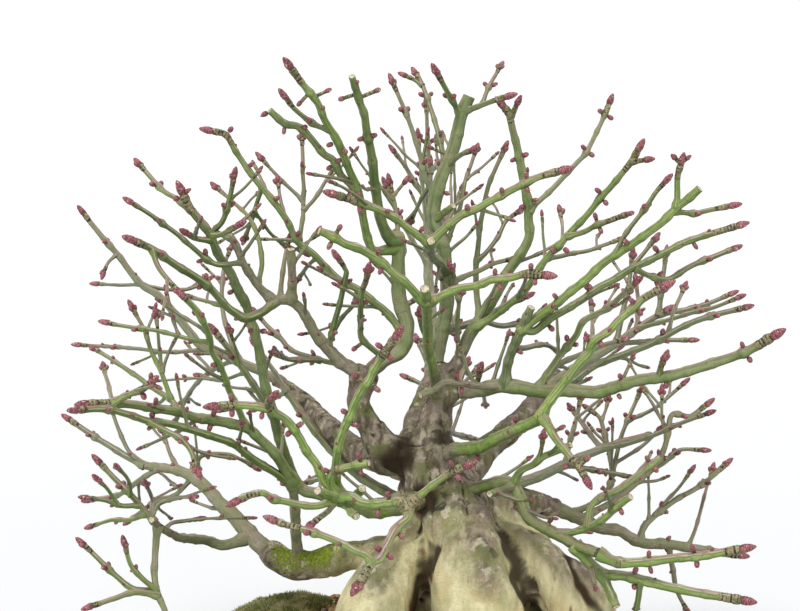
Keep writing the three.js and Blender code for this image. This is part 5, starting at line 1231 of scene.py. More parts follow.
# The short knobbly spur between a twig and a bud that stands off it
def add_spur(bag, bud, chance):
    length = np.linalg.norm(bud["base"] - bud["foot"])
    steps = np.linspace(0, length, max(5, int(length / SPUR_STEP)))
    line = bud["foot"] + bud["out"] * steps[:, None]
    rings = np.abs((steps / SPUR_RING) % 1 - 0.5) * 2
    radii = (bud["girth"] * 0.72 * (1 + 0.14 * (rings < 0.5)))[:, None] * np.ones(SPUR_SIDES)
    skin, grain = sweep(line, radii, turns(SPUR_SIDES))
    bag.add(skin, [ring_faces(len(steps), SPUR_SIDES)], grain=grain + chance.uniform(0, 90), scar=1.0,
            dark=np.repeat(ramp(rings - 0.62, 0, 0.2), SPUR_SIDES), age=0.3, tint=0.5)


# Pairs of side buds: how far apart they are, how far the last is from the twig's end, and how big and how
# likely a bud is, in the pair next to a live tip and in the others
PAIR_SPACING = 9.6
PAIR_SPREAD = (0.85, 1.15)
FROM_SEAT, FROM_CUT, FROM_TIP = 5, 3.4, 1.2
NEAR_TIP = {"lean": 1.6, "size": (0.75, 1.0), "share": 0.9, "length": 2.7, "girth": 0.9}
ALONG = {"lean": 1.2, "size": (0.5, 0.95), "share": 0.32, "length": 2.1, "girth": 0.75}
BUDS_APART = 2.6
SIDE_BUD_ROOM = 0.75
SOLID_BUD_LENGTH = (2.0, 2.7)
SOLID_BUD_GIRTH = (0.76, 0.98)
SHORT_TWIG_BUD = (0.7, 0.6)


# Every bud of one stem, those of the solids and the smaller ones between them, and where its nodes are
def buds_of(stem, chance):
    found, nodes, short = [], [], SHORT in stem.name

    def put(distance, foot, out, reach, length, girth):
        found.append({"distance": distance, "foot": foot, "base": foot + out * (reach - length), "out": out,
                      "length": length, "girth": girth})

    for bud in BUDS:
        if bud["stem"] == stem.name:
            reach = np.linalg.norm(bud["tip"] - bud["foot"])
            out = (bud["tip"] - bud["foot"]) / reach
            length = min(chance.uniform(*SOLID_BUD_LENGTH), reach - 0.5)
            girth = bud["radius"] * chance.uniform(*SOLID_BUD_GIRTH)
            put(bud["distance"], bud["foot"], out, reach, length, girth)
    taken = [bud["distance"] for bud in found]
    if stem.end != "cut" and stem.tip_bud:
        point, direction, radius = stem.at(stem.length)
        girth, length = tip_bud_size(stem)
        if short:
            girth, length = girth * SHORT_TWIG_BUD[0], length * SHORT_TWIG_BUD[1]
        put(stem.length, point - direction * 0.5, direction, length + 0.5, length + 0.5, girth * 1.06)
    pair = 0
    distance = stem.length - (FROM_CUT if stem.end == "cut" else FROM_TIP)
    while distance > stem.seat + FROM_SEAT:
        nodes.append(distance)
        point, direction, radius = stem.at(distance)
        across = across_stem(direction, pair)
        kind = NEAR_TIP if pair == 0 and stem.end != "cut" and not short else ALONG
        for side in (1, -1):
            out = unit(across * side + direction * kind["lean"])
            size = chance.uniform(*kind["size"])
            keep = chance.uniform() < kind["share"]
            apart = all(abs(distance - other) > BUDS_APART for other in taken)
            tip = point + out * (radius + BUDS_APART * size)
            if keep and apart and free_of_stems(tip, SIDE_BUD_ROOM, stem.name):
                length = kind["length"] * size
                put(distance, point, out, radius * 0.8 + length, length, kind["girth"] * size)
        distance -= PAIR_SPACING * chance.uniform(*PAIR_SPREAD)
        pair += 1
    return found, [place for place in (*taken, *nodes) if place < stem.length - 0.1]


# Every stem's points in one list, to keep side buds clear of other stems
ALL_POINTS = np.concatenate([stem.points for stem in STEMS.values()])
ALL_RADII = np.concatenate([stem.radii for stem in STEMS.values()])
ALL_NAMES = np.concatenate([[stem.name] * len(stem.points) for stem in STEMS.values()])


# Whether a point is further than a margin from every stem but its own
def free_of_stems(point, margin, own_name):
    away = np.linalg.norm(ALL_POINTS - point, axis=1) - ALL_RADII
    return not ((away < margin) & (ALL_NAMES != own_name)).any()


# How far a spray reaches back into its seat, how far off its twig a bud needs a spur, and how brown buds are
SEAT_OVERLAP = 1.5
SPUR_REACH = 0.3
TIP_BUD_BROWN = 0.35
SIDE_BUD_BROWN = 0.6


# One spray: its twigs, spurs and buds in one piece that stands for its solid
def build_spray(node, number):
    chance = np.random.default_rng(100 + number)
    bag = Bag(*TWIG_LAYERS)
    groups = {kind: [] for kind in BUD_SHAPES}
    for stem in STEMS.values():
        if stem.node != node:
            continue
        buds, nodes = buds_of(stem, chance)
        start = stem.seat - SEAT_OVERLAP if stem.seat > 0 else 0
        add_stem(bag, stem, start, nodes, chance)
        for bud in buds:
            if np.linalg.norm(bud["base"] - bud["foot"]) > stem.root_radius + SPUR_REACH:
                add_spur(bag, bud, chance)
            groups[is_front(stem), bud["distance"] >= stem.length].append(bud)
    for kind, buds in groups.items():
        add_buds(bag, buds, BUD_SHAPES[kind], TIP_BUD_BROWN if kind[1] else SIDE_BUD_BROWN, chance)
    return bag.build(f"{node}_twigs", [TWIG_MATERIAL, BUD_MATERIAL], "green_wood", node)


# A closed tube along a line, for the wood's raw form
def add_tube(bag, line, radii, sides=WOOD_SIDES):
    skin, _ = sweep(line, np.asarray(radii)[:, None] * np.ones(sides), turns(sides))
    bag.add(np.vstack([skin.reshape(-1, 3), line[0], line[-1]]), closed_faces(len(line), sides))


# A smooth line through control points, and the values at these spread along it
def resampled(control, values, per_span=6):
    line = curve_points(np.array(control, float), per_span)
    return line, np.interp(np.arange(len(line)) / per_span, np.arange(len(values)), values)


# A lobe of the root flare, from high on the trunk down into the soil
def root_lobe(azimuth, spread, top, girth):
    points = []
    for out, fall, _ in LOBE_RUN:
        height = top + (ROOT_DEPTH - top) * fall
        rise = (height - FLARE_FOOT) / FLARE_RISE
        sway = ROOT_SWAY * math.sin(height * ROOT_WAVE + azimuth)
        axis = (FLARE_X - FLARE_LEAN * rise ** 2, FLARE_BACK * (1 - rise), height)
        points.append(heading(azimuth + sway, 0) * spread * out + axis)
    return resampled(points, [girth * row[2] for row in LOBE_RUN])


# The average of each point's neighbours, over and over
def smoothed(points, edges, rounds, share=0.5):
    degree = np.bincount(edges.ravel(), minlength=len(points))[:, None]
    for _ in range(rounds):
        total = np.stack([np.bincount(edges.ravel(), points[edges[:, ::-1].ravel(), axis], len(points))
                          for axis in range(3)], axis=1)
        points = points + share * (total / degree - points)
    return points


# The vertices' places or normals
def vectors(mesh, name):
    values = np.empty(len(mesh.vertices) * 3, np.float32)
    mesh.vertices.foreach_get(name, values)
    return values.reshape(-1, 3).astype(float)


def mesh_edges(mesh):
    edges = np.empty(len(mesh.edges) * 2, np.int32)
    mesh.edges.foreach_get("vertices", edges)
    return edges.reshape(-1, 2)


def set_points(mesh, points):
    mesh.vertices.foreach_set("co", points.astype(np.float32).ravel())
    mesh.update()


# The raw tubes of the trunk and its lobes: points round them, and how much of the trunk's radius is core
TRUNK_SIDES = 24
LOBE_SIDES = 20
TRUNK_SHARE = 0.9

# How much wider a limb is where it leaves the trunk, and a twig in its seat, and over what length
LIMB_SPREAD = (0.35, 16)
SEAT_SPREAD = (0.5, 5)
SEAT_MIDDLE = 3


# The trunk, its lobes, its limbs and the seats of the sprays as overlapping tubes
def raw_wood():
    bag = Bag()
    trunk_line = np.array(TRUNK_LINE, float)
    add_tube(bag, *resampled(trunk_line[:, :3], trunk_line[:, 3] * TRUNK_SHARE), TRUNK_SIDES)
    for lobe in ROOT_LOBES:
        add_tube(bag, *root_lobe(*lobe), LOBE_SIDES)
    for stem in STEMS.values():
        limb = stem.node == "trunk_and_limbs"
        if stem.name == "trunk" or not limb and stem.seat == 0:
            continue
        line, along = fine_line(stem, 0, WOOD_STEP)
        keep = along <= (stem.length if limb else stem.seat)
        line, along = line[keep], along[keep]
        radii = np.interp(along, stem.distances, stem.radii)
        wider, reach = LIMB_SPREAD if limb else SEAT_SPREAD
        if limb:
            radii = radii * (1 + wider * hump(along, reach)) * (1 + 0.1 * WANDER.at(line, 7, 2))
        else:
            radii = radii * (1 + wider * hump(along - SEAT_MIDDLE, reach)) + 0.1
        add_tube(bag, line, radii)
    return bag


# How near points are to places that the view shows, from 1 at one to 0 past its reach.
# Each place: x and y in pixels, y in space and reach.
def near(points, places):
    away = [np.linalg.norm(points - from_view(*place), axis=1) / reach for *place, reach in places]
    return ramp(1.4 - np.min(away, axis=0), 0, 1)


# Fissures between the lobes of the root flare, on its front.
# Each row: depth, then height and x of points from the top down.
FISSURES = [
    (2.2, [(93, 27.5), (84, 31), (73, 35.5), (56, 40)]),
    (1.2, [(84, 5), (76, 3), (60, 1.5), (48, 0)]),
    (1.8, [(82, 50), (74, 54), (58, 62)]),
]
FISSURE_WIDTH = 2.6

# Where the view shows moss on the wood, and where painted shade darkens the wood
MOSSY_PLACES = [(315, 556, -2, 11), (345, 545, -6, 9), (290, 562, 0, 10), (470, 382, -8, 5)]
SHADY_PLACES = [(396, 456, -4, 7), (350, 503, -4, 7), (425, 500, -10, 6)]

# How far from the trunk's axis the flare goes, and between which heights it turns to bark
FLARE_REACH = (56, 46)
FLARE_TOP = (98, 86)
NECK_REACH = (30, 22)
NECK_FOOT = (84, 96)
NECK_TOP = (132, 120)
LOBE_TOP = 92
HOLLOW_DEPTH = 0.9


# How far points are inside the fissures, from 0 to 1, and how deep these are there
def in_fissures(points):
    found, deep = np.zeros((2, len(points)))
    for depth, line in FISSURES:
        heights, places = np.array(line, float)[::-1].T
        across = points[:, 0] - np.interp(points[:, 2], heights, places)
        ends = np.minimum(points[:, 2] - heights[0], heights[-1] - points[:, 2])
        inside = hump(across, FISSURE_WIDTH) * ramp(ends / 5 + 1, 0, 1) * ramp(-points[:, 1] / 8 - 0.5, 0, 1)
        found, deep = np.maximum(found, inside), np.maximum(deep, depth * inside)
    return found, deep


# The trunk, its root flare and its limbs in one skin, with flutes, fissures and lumps
def build_wood():
    raw = raw_wood().piece("raw_wood", lambda points: points * MM)
    remesh = raw.modifiers.new("remesh", "REMESH")
    remesh.mode, remesh.voxel_size = "VOXEL", VOXEL * MM
    mesh = made_mesh(raw)
    edges = mesh_edges(mesh)
    points = smoothed(vectors(mesh, "co") / MM, edges, 8)
    set_points(mesh, points)
    normals = vectors(mesh, "normal")
    flutes, lumps, fine = Noise(21), Noise(22), Noise(23)
    height = points[:, 2]
    level = (height - FLARE_FOOT) / FLARE_RISE
    away = np.hypot(points[:, 0] - FLARE_X + FLARE_LEAN * level ** 2, points[:, 1])
    trunk = ramp(away, *FLARE_REACH)
    flare = trunk * ramp(height, *FLARE_TOP)
    neck = ramp(away, *NECK_REACH) * ramp(height, *NECK_FOOT) * ramp(height, *NECK_TOP)
    grooves = ramp(1 - np.abs(flutes.at(points * (1, 1, 0.35), 11, 2)) * 3.2, 0, 1) ** 2
    split, depth = in_fissures(points + 1.6 * lumps.at(points, 9, 2)[:, None] * (1, 0, 0))
    pits = np.clip(flutes.at(points, 6.5, 2) - 0.25, 0, 1)
    rise = flare * (0.9 * lumps.at(points, 19, 2) - 0.7 * grooves) - trunk * depth
    rise += neck * (1.5 * lumps.at(points, 8, 2) - 2.4 * pits - 1.2 * grooves)
    rise += (0.34 - 0.2 * flare) * lumps.at(points, 4.5, 2) + 0.13 * fine.at(points * (1, 1, 0.5), 1.6, 2)
    points = points + normals * rise[:, None]
    set_points(mesh, points)
    normals = vectors(mesh, "normal")
    # painted shade: hollow is how far each point sits in a hollow; with the SHADY_PLACES spots and the
    # fissures added, the bark paints it dark and its raised parts pale
    hollow = ((smoothed(points, edges, 10) - points) * normals).sum(axis=1) / HOLLOW_DEPTH
    deep = np.clip(np.maximum(hollow, near(points, SHADY_PLACES)), -1, 1)
    top = LOBE_TOP + 6 * lumps.at(points, 12) - 0.8 * np.maximum(away - 22, 0)
    wood = new_object("wood_skin", mesh)
    give_values(wood, "hollow", np.maximum(deep, 0.8 * trunk * split ** 3))
    give_values(wood, "lobe", trunk * ramp(top - points[:, 2], 0, 9))
    give_values(wood, "mossy", near(points, MOSSY_PLACES) * (0.6 + 0.4 * np.clip(normals[:, 2], -1, 1)))
    give_values(wood, "grain", points)
    set_points(mesh, in_box(points))
    mesh.shade_smooth()
    return dress(wood, [BARK_MATERIAL], "bark", "trunk_and_limbs")


# The pot's inside, at its floor and its top
FLOOR_TOP = FOOT_HEIGHT + POT_FLOOR
INNER_TOP = POT_LENGTH / 2 - LIP_WIDTH - POT_WALL
INNER_FLOOR = INNER_TOP - 15

# How finely the pot, the soil and the moss are drawn, and how many grains and tufts there are
POT_SIDES = 144
DRAIN_SIDES = 40
FOOT_SIDES = 40
SOIL_SIDES = 96
SOIL_RINGS = 40
MOSS_SIDES = 48
MOSS_RINGS = 22
GRAIN_COUNT = 5200
GRAIN_SIZE = (0.55, 1.0)
TUFTS = 2600


# How high the soil is at points of the pot
def soil_height(points):
    inner = np.hypot(points[:, 0], points[:, 1] * POT_LENGTH / POT_DEPTH) / INNER_TOP
    rise = np.sin(ramp(1 - inner, 0, 1) * np.pi / 2) ** MOUND_FULLNESS
    return SOIL_EDGE + (SOIL_CROWN - SOIL_EDGE) * rise


# Rings of an oval turned form from a profile of half length and height
def oval_rings(profile, sides):
    profile = np.array(profile, float)
    x = profile[:, :1] * np.cos(turns(sides))
    y = profile[:, :1] * np.sin(turns(sides)) * POT_DEPTH / POT_LENGTH
    return np.stack([x, y, np.broadcast_to(profile[:, 1:], x.shape)], axis=-1)


# The corners of a twenty-sided crumb, and its faces
GOLDEN = (1 + 5 ** 0.5) / 2
CRUMB_CORNERS = [
    (-1, GOLDEN, 0), (1, GOLDEN, 0), (-1, -GOLDEN, 0), (1, -GOLDEN, 0), (0, -1, GOLDEN), (0, 1, GOLDEN),
    (0, -1, -GOLDEN), (0, 1, -GOLDEN), (GOLDEN, 0, -1), (GOLDEN, 0, 1), (-GOLDEN, 0, -1), (-GOLDEN, 0, 1),
]
CRUMB_FACES = [
    (0, 11, 5), (0, 5, 1), (0, 1, 7), (0, 7, 10), (0, 10, 11), (1, 5, 9), (5, 11, 4), (11, 10, 2), (10, 7, 6),
    (7, 1, 8), (3, 9, 4), (3, 4, 2), (3, 2, 6), (3, 6, 8), (3, 8, 9), (4, 9, 5), (2, 4, 11), (6, 2, 10),
    (8, 6, 7), (9, 8, 1),
]


# Crumbs, each knocked out of shape and turned, laid on a surface
def add_crumbs(bag, places, sizes, chance):
    corners = unit(np.array(CRUMB_CORNERS, float))
    count, points = len(places), len(corners)
    turn = chance.uniform(0, 2 * np.pi, count)[:, None]
    dents, stretch = chance.uniform(0.7, 1.15, (count, points, 1)), chance.uniform(0.75, 1.2, (count, 1, 3))
    x, y, z = np.moveaxis(corners[None] * dents * stretch, -1, 0)
    shapes = np.stack([*turned(x, y, turn), z], axis=-1) * sizes[:, None, None] + places[:, None]
    bag.add(shapes, [copied_faces(np.array(CRUMB_FACES), count, points)],
            tint=np.repeat(chance.uniform(0.05, 1, count), points))


# The soil: a mound that fills the pot, covered with crumbs of baked clay and lava
def build_soil():
    chance = np.random.default_rng(61)
    bag = Bag("tint")
    edge = INNER_TOP - 0.9
    below = [
        (0.5, FLOOR_TOP + GAP), (INNER_FLOOR - 0.6, FLOOR_TOP + GAP), (INNER_FLOOR + 3.4, FLOOR_TOP + 3.3),
        (INNER_TOP - 3.6, FLOOR_TOP + 10), (edge - 0.3, SOIL_EDGE),
    ]
    above = [(edge * (1 - part), 0) for part in np.linspace(0.02, 0.99, SOIL_RINGS)]
    rings = oval_rings(below + above, SOIL_SIDES)
    flat = rings.reshape(-1, 3)
    top = flat[len(below) * SOIL_SIDES:]
    from_edge = 1 - np.hypot(top[:, 0] / edge, top[:, 1] * POT_LENGTH / POT_DEPTH / edge)
    relief = 0.8 * Noise(62).at(top, 6, 2) * ramp(from_edge * 8, 0, 1)
    top[:, 2] = soil_height(top) - 0.7 + relief
    bag.add(flat, [ring_faces(len(rings), SOIL_SIDES)], tint=0.0)
    spin, share = chance.uniform(0, 2 * np.pi, GRAIN_COUNT), np.sqrt(chance.uniform(0, 1, GRAIN_COUNT))
    sizes = GRAIN_SIZE[0] + GRAIN_SIZE[1] * chance.uniform(0, 1, GRAIN_COUNT) ** 2
    reach = (edge - 1.6) * share
    places = np.stack([reach * np.cos(spin), reach * np.sin(spin) * POT_DEPTH / POT_LENGTH, 0 * spin], axis=1)
    places[:, 2] = soil_height(places) - 0.5 + chance.uniform(-0.2, 0.35, GRAIN_COUNT)
    add_crumbs(bag, places, sizes, chance)
    return bag.build("soil_crumbs", [SOIL_MATERIAL], "soil", "soil")


# Moss cushions on the soil: place, size and height of each
MOSS = [
    ((-55, -14), (17, 12), 5), ((-36, -37), (14, 9), 4.5), ((34, -38), (16, 9), 5), ((6, 43), (19, 9), 4.5),
    ((-50, 19), (22, 14), 7),
]


# How moss tufts lean and spread, how long and wide they are, and how light their tips are
TUFT_LEAN = 0.45
TUFT_SPREAD = 0.03
TUFT_LENGTH = (0.8, 1.7)
TUFT_WIDTH = (0.16, 0.3)
TUFT_TINT = (0.5, 1)


# A moss cushion: a lumpy dome, grown all over with small tufts
def build_moss(number):
    chance = np.random.default_rng(70 + number)
    place, size, height = MOSS[number]
    relief = Noise(80 + number)
    bag = Bag("tint")

    def dome(shares, spins):
        x, y = place[0] + size[0] * shares * np.cos(spins), place[1] + size[1] * shares * np.sin(spins)
        points = np.stack([x, y, 0 * x], axis=-1).reshape(-1, 3)
        rise = np.sqrt(ramp(1 - shares ** 2, 0, 1)).reshape(-1)
        points[:, 2] = soil_height(points) + rise * (height - 1.3) - 0.4
        points[:, 2] += 0.9 * relief.at(points, 5, 2) * ramp(rise * 2, 0, 1)
        return points

    spins, shares = np.meshgrid(turns(MOSS_SIDES), np.linspace(1.0, 0.02, MOSS_RINGS))
    bag.add(dome(shares, spins), [ring_faces(MOSS_RINGS, MOSS_SIDES)], tint=0.1)
    roots = dome(np.sqrt(chance.uniform(0, 0.96, TUFTS)), chance.uniform(0, 2 * np.pi, TUFTS))
    lean_x, lean_y = chance.normal(0, TUFT_LEAN, TUFTS), chance.normal(0, TUFT_LEAN, TUFTS)
    lean = np.stack([lean_x, lean_y, np.ones(TUFTS)], axis=1)
    lean = unit(lean + (roots - (*place, 60)) * (TUFT_SPREAD, TUFT_SPREAD, 0))
    side = unit(np.cross(lean, (0.3, 0.8, 0.1)))
    other = np.cross(lean, side)
    length, width = chance.uniform(*TUFT_LENGTH, TUFTS)[:, None], chance.uniform(*TUFT_WIDTH, TUFTS)[:, None]
    corners = [roots + width * (side * math.cos(a) + other * math.sin(a)) for a in (0, 2.09, 4.19)]
    points = np.stack([*corners, roots + lean * length], axis=1)
    tint = np.full((TUFTS, 4), 0.15)
    tint[:, 3] = chance.uniform(*TUFT_TINT, TUFTS)
    bag.add(points, [copied_faces(np.array([(0, 1, 3), (1, 2, 3), (2, 0, 3)]), TUFTS, 4)], tint=tint)
    return bag.build(f"moss_tufts_{number + 1}", [MOSS_MATERIAL], "moss", f"moss_cushion_{number + 1}")


# A rounded copy of a profile: each corner becomes a short curve
def eased(profile, rounds=2):
    points = np.array(profile, float)
    for _ in range(rounds):
        start, end = points[:-1], points[1:]
        middle = np.stack([start * 0.75 + end * 0.25, start * 0.25 + end * 0.75], axis=1).reshape(-1, 2)
        points = np.vstack([points[:1], middle[1:-1], points[-1:]])
    return points


# The pot: the solid's oval turned smooth, with a rolled lip and two drain holes
def build_pot():
    lip = POT_LENGTH / 2
    belly = lip - LIP_WIDTH
    neck = POT_HEIGHT - LIP_HEIGHT
    outside = [
        (0.4, FOOT_HEIGHT), (belly - 18, FOOT_HEIGHT), (belly - 13, FOOT_HEIGHT + 2),
        (belly - 6, FOOT_HEIGHT + 10), (belly - 2, FOOT_HEIGHT + 19), (belly - 1.5, neck - 0.4),
        (belly - 1.3, neck + 0.2), (lip - 0.6, neck + 1.3), (lip, neck + 2.2), (lip, POT_HEIGHT - 1.6),
        (lip - 0.5, POT_HEIGHT - 0.4), (lip - 1.6, POT_HEIGHT),
    ]
    inside = [
        (INNER_TOP + 1.2, POT_HEIGHT), (INNER_TOP + 0.2, POT_HEIGHT - 0.5), (INNER_TOP, POT_HEIGHT - 1.5),
        (INNER_TOP - 3, FLOOR_TOP + 10), (INNER_FLOOR + 4, FLOOR_TOP + 3), (INNER_FLOOR, FLOOR_TOP),
        (0.4, FLOOR_TOP),
    ]
    rings = oval_rings(eased(outside + inside), POT_SIDES)
    bag, holes = Bag(), Bag()
    points = np.vstack([rings.reshape(-1, 3), (0, 0, FOOT_HEIGHT), (0, 0, FLOOR_TOP)])
    bag.add(points, closed_faces(len(rings), POT_SIDES))
    for x in (-DRAIN_SPACING / 2, DRAIN_SPACING / 2):
        line = np.array([(x, 0.0, -2.0), (x, 0, 8), (x, 0, FLOOR_TOP + 5.0)])
        add_tube(holes, line, [DRAIN_RADIUS] * 3, DRAIN_SIDES)
    pot, cutter = bag.piece("pot_body", in_frame), holes.piece("holes", in_frame)
    cut = pot.modifiers.new("drains", "BOOLEAN")
    cut.operation, cut.object, cut.solver = "DIFFERENCE", cutter, "EXACT"
    mesh = made_mesh(pot)
    bpy.data.objects.remove(cutter)
    mesh.shade_smooth()
    mesh.set_sharp_from_angle(angle=math.radians(50))
    return dress(new_object("pot_body", mesh), [STONEWARE_MATERIAL], "stoneware", "pot")


# The pot's four feet, with rounded edges and a slight taper
def build_feet():
    bag = Bag()
    top = FOOT_HEIGHT + 2.0
    profile = eased([(0.1, 0), (0.8, 0), (0.85, 0.35), (0.94, 5), (1.0, top), (0.1, top)])
    count = len(profile) * FOOT_SIDES
    for side_x, side_y in ((1, 1), (1, -1), (-1, 1), (-1, -1)):
        x = profile[:, :1] * np.cos(turns(FOOT_SIDES)) * FOOT_LENGTH / 2
        y = profile[:, :1] * np.sin(turns(FOOT_SIDES)) * FOOT_DEPTH / 2
        x, y = turned(x, y, -side_x * side_y * FOOT_TURN)
        height = np.broadcast_to(profile[:, 1:], x.shape)
        points = np.stack([x + side_x * FOOT_PLACE[0], y + side_y * FOOT_PLACE[1], height], axis=-1)
        whole = np.vstack([points.reshape(-1, 3), points[0].mean(axis=0)])
        bag.add(whole, [ring_faces(len(profile), FOOT_SIDES), fan_faces(count, 0, FOOT_SIDES, True)])
    return bag.build("pot_feet", [STONEWARE_MATERIAL], "stoneware", "pot")


# A colour from its screen values, 0 to 255
def paint(red, green, blue, alpha=1.0):
    levels = [value / 255 for value in (red, green, blue)]
    return (*[v / 12.92 if v <= 0.04045 else ((v + 0.055) / 1.055) ** 2.4 for v in levels], alpha)


NOISE_ROUGHNESS = 0.55


# A material that is put together node by node: layer and vector read what a piece's points carry; step,
# noise, cells and the sums give values; tones, coat and mix give colours; and finish sets the surface
class Finish:
    def __init__(self, name, **settings):
        self.material = bpy.data.materials.new(name)
        self.material.use_nodes = True
        self.tree = self.material.node_tree
        self.tree.nodes.clear()
        inputs = {key.replace("_", " "): value for key, value in settings.items()}
        self.surface = self.add("ShaderNodeBsdfPrincipled", inputs)
        output = self.add("ShaderNodeOutputMaterial")
        self.tree.links.new(self.surface.outputs[0], output.inputs[0])

    def add(self, kind, inputs=None, **settings):
        node = self.tree.nodes.new(kind)
        for key, value in settings.items():
            setattr(node, key, value)
        for key, value in (inputs or {}).items():
            self.put(node.inputs[key], value)
        return node

    def put(self, socket, value):
        if isinstance(value, bpy.types.NodeSocket):
            self.tree.links.new(value, socket)
        else:
            socket.default_value = value

    def layer(self, name):
        return self.add("ShaderNodeAttribute", attribute_name=name).outputs["Fac"]

    def vector(self, name="grain", stretch=(1, 1, 1)):
        found = self.add("ShaderNodeAttribute", attribute_name=name).outputs["Vector"]
        return self.add("ShaderNodeVectorMath", {0: found, 1: stretch}, operation="MULTIPLY").outputs[0]

    def noise(self, vector, scale, detail=3, distortion=0.0):
        inputs = {"Vector": vector, "Scale": scale, "Detail": detail, "Distortion": distortion,
                  "Roughness": NOISE_ROUGHNESS}
        return self.add("ShaderNodeTexNoise", inputs).outputs["Fac"]

    def cells(self, vector, scale):
        return self.add("ShaderNodeTexVoronoi", {"Vector": vector, "Scale": scale}).outputs["Distance"]

    # How far a value has gone from low to high, smoothly
    def step(self, value, low, high, to_low=0.0, to_high=1.0):
        inputs = {"Value": value, "From Min": low, "From Max": high, "To Min": to_low, "To Max": to_high}
        return self.add("ShaderNodeMapRange", inputs, interpolation_type="SMOOTHSTEP").outputs["Result"]

    def maths(self, operation, first, second=0.0):
        return self.add("ShaderNodeMath", {0: first, 1: second}, operation=operation).outputs[0]

    def times(self, first, second):
        return self.maths("MULTIPLY", first, second)

    def plus(self, first, second):
        return self.maths("ADD", first, second)

    def less(self, first, second):
        return self.maths("SUBTRACT", first, second)

    def mix(self, share, first, second):
        return self.add("ShaderNodeMix", {0: share, 6: first, 7: second}, data_type="RGBA").outputs[2]

    # A colour that goes over to another, up to a share, as a value goes from low to high
    def coat(self, colour, value, low, high, share, other):
        return self.mix(self.step(value, low, high, 0, share), colour, paint(*other))

    # Coats one after the other, each row one of them
    def coats(self, colour, rows):
        for row in rows:
            colour = self.coat(colour, *row)
        return colour

    # One colour where a value is low and another where it is high
    def tones(self, value, low, high, first, second):
        return self.mix(self.step(value, low, high), paint(*first), paint(*second))

    def place(self):
        return self.add("ShaderNodeTexCoord").outputs["Object"]

    def facing_up(self):
        normal = self.add("ShaderNodeNewGeometry").outputs["Normal"]
        return self.add("ShaderNodeSeparateXYZ", {0: normal}).outputs["Z"]

    def finish(self, colour, roughness, height, strength=0.5, distance=0.0003):
        bump = self.add("ShaderNodeBump", {"Height": height, "Strength": strength, "Distance": distance})
        self.put(self.surface.inputs["Base Color"], colour)
        self.put(self.surface.inputs["Roughness"], roughness)
        self.put(self.surface.inputs["Normal"], bump.outputs[0])
        return self.material


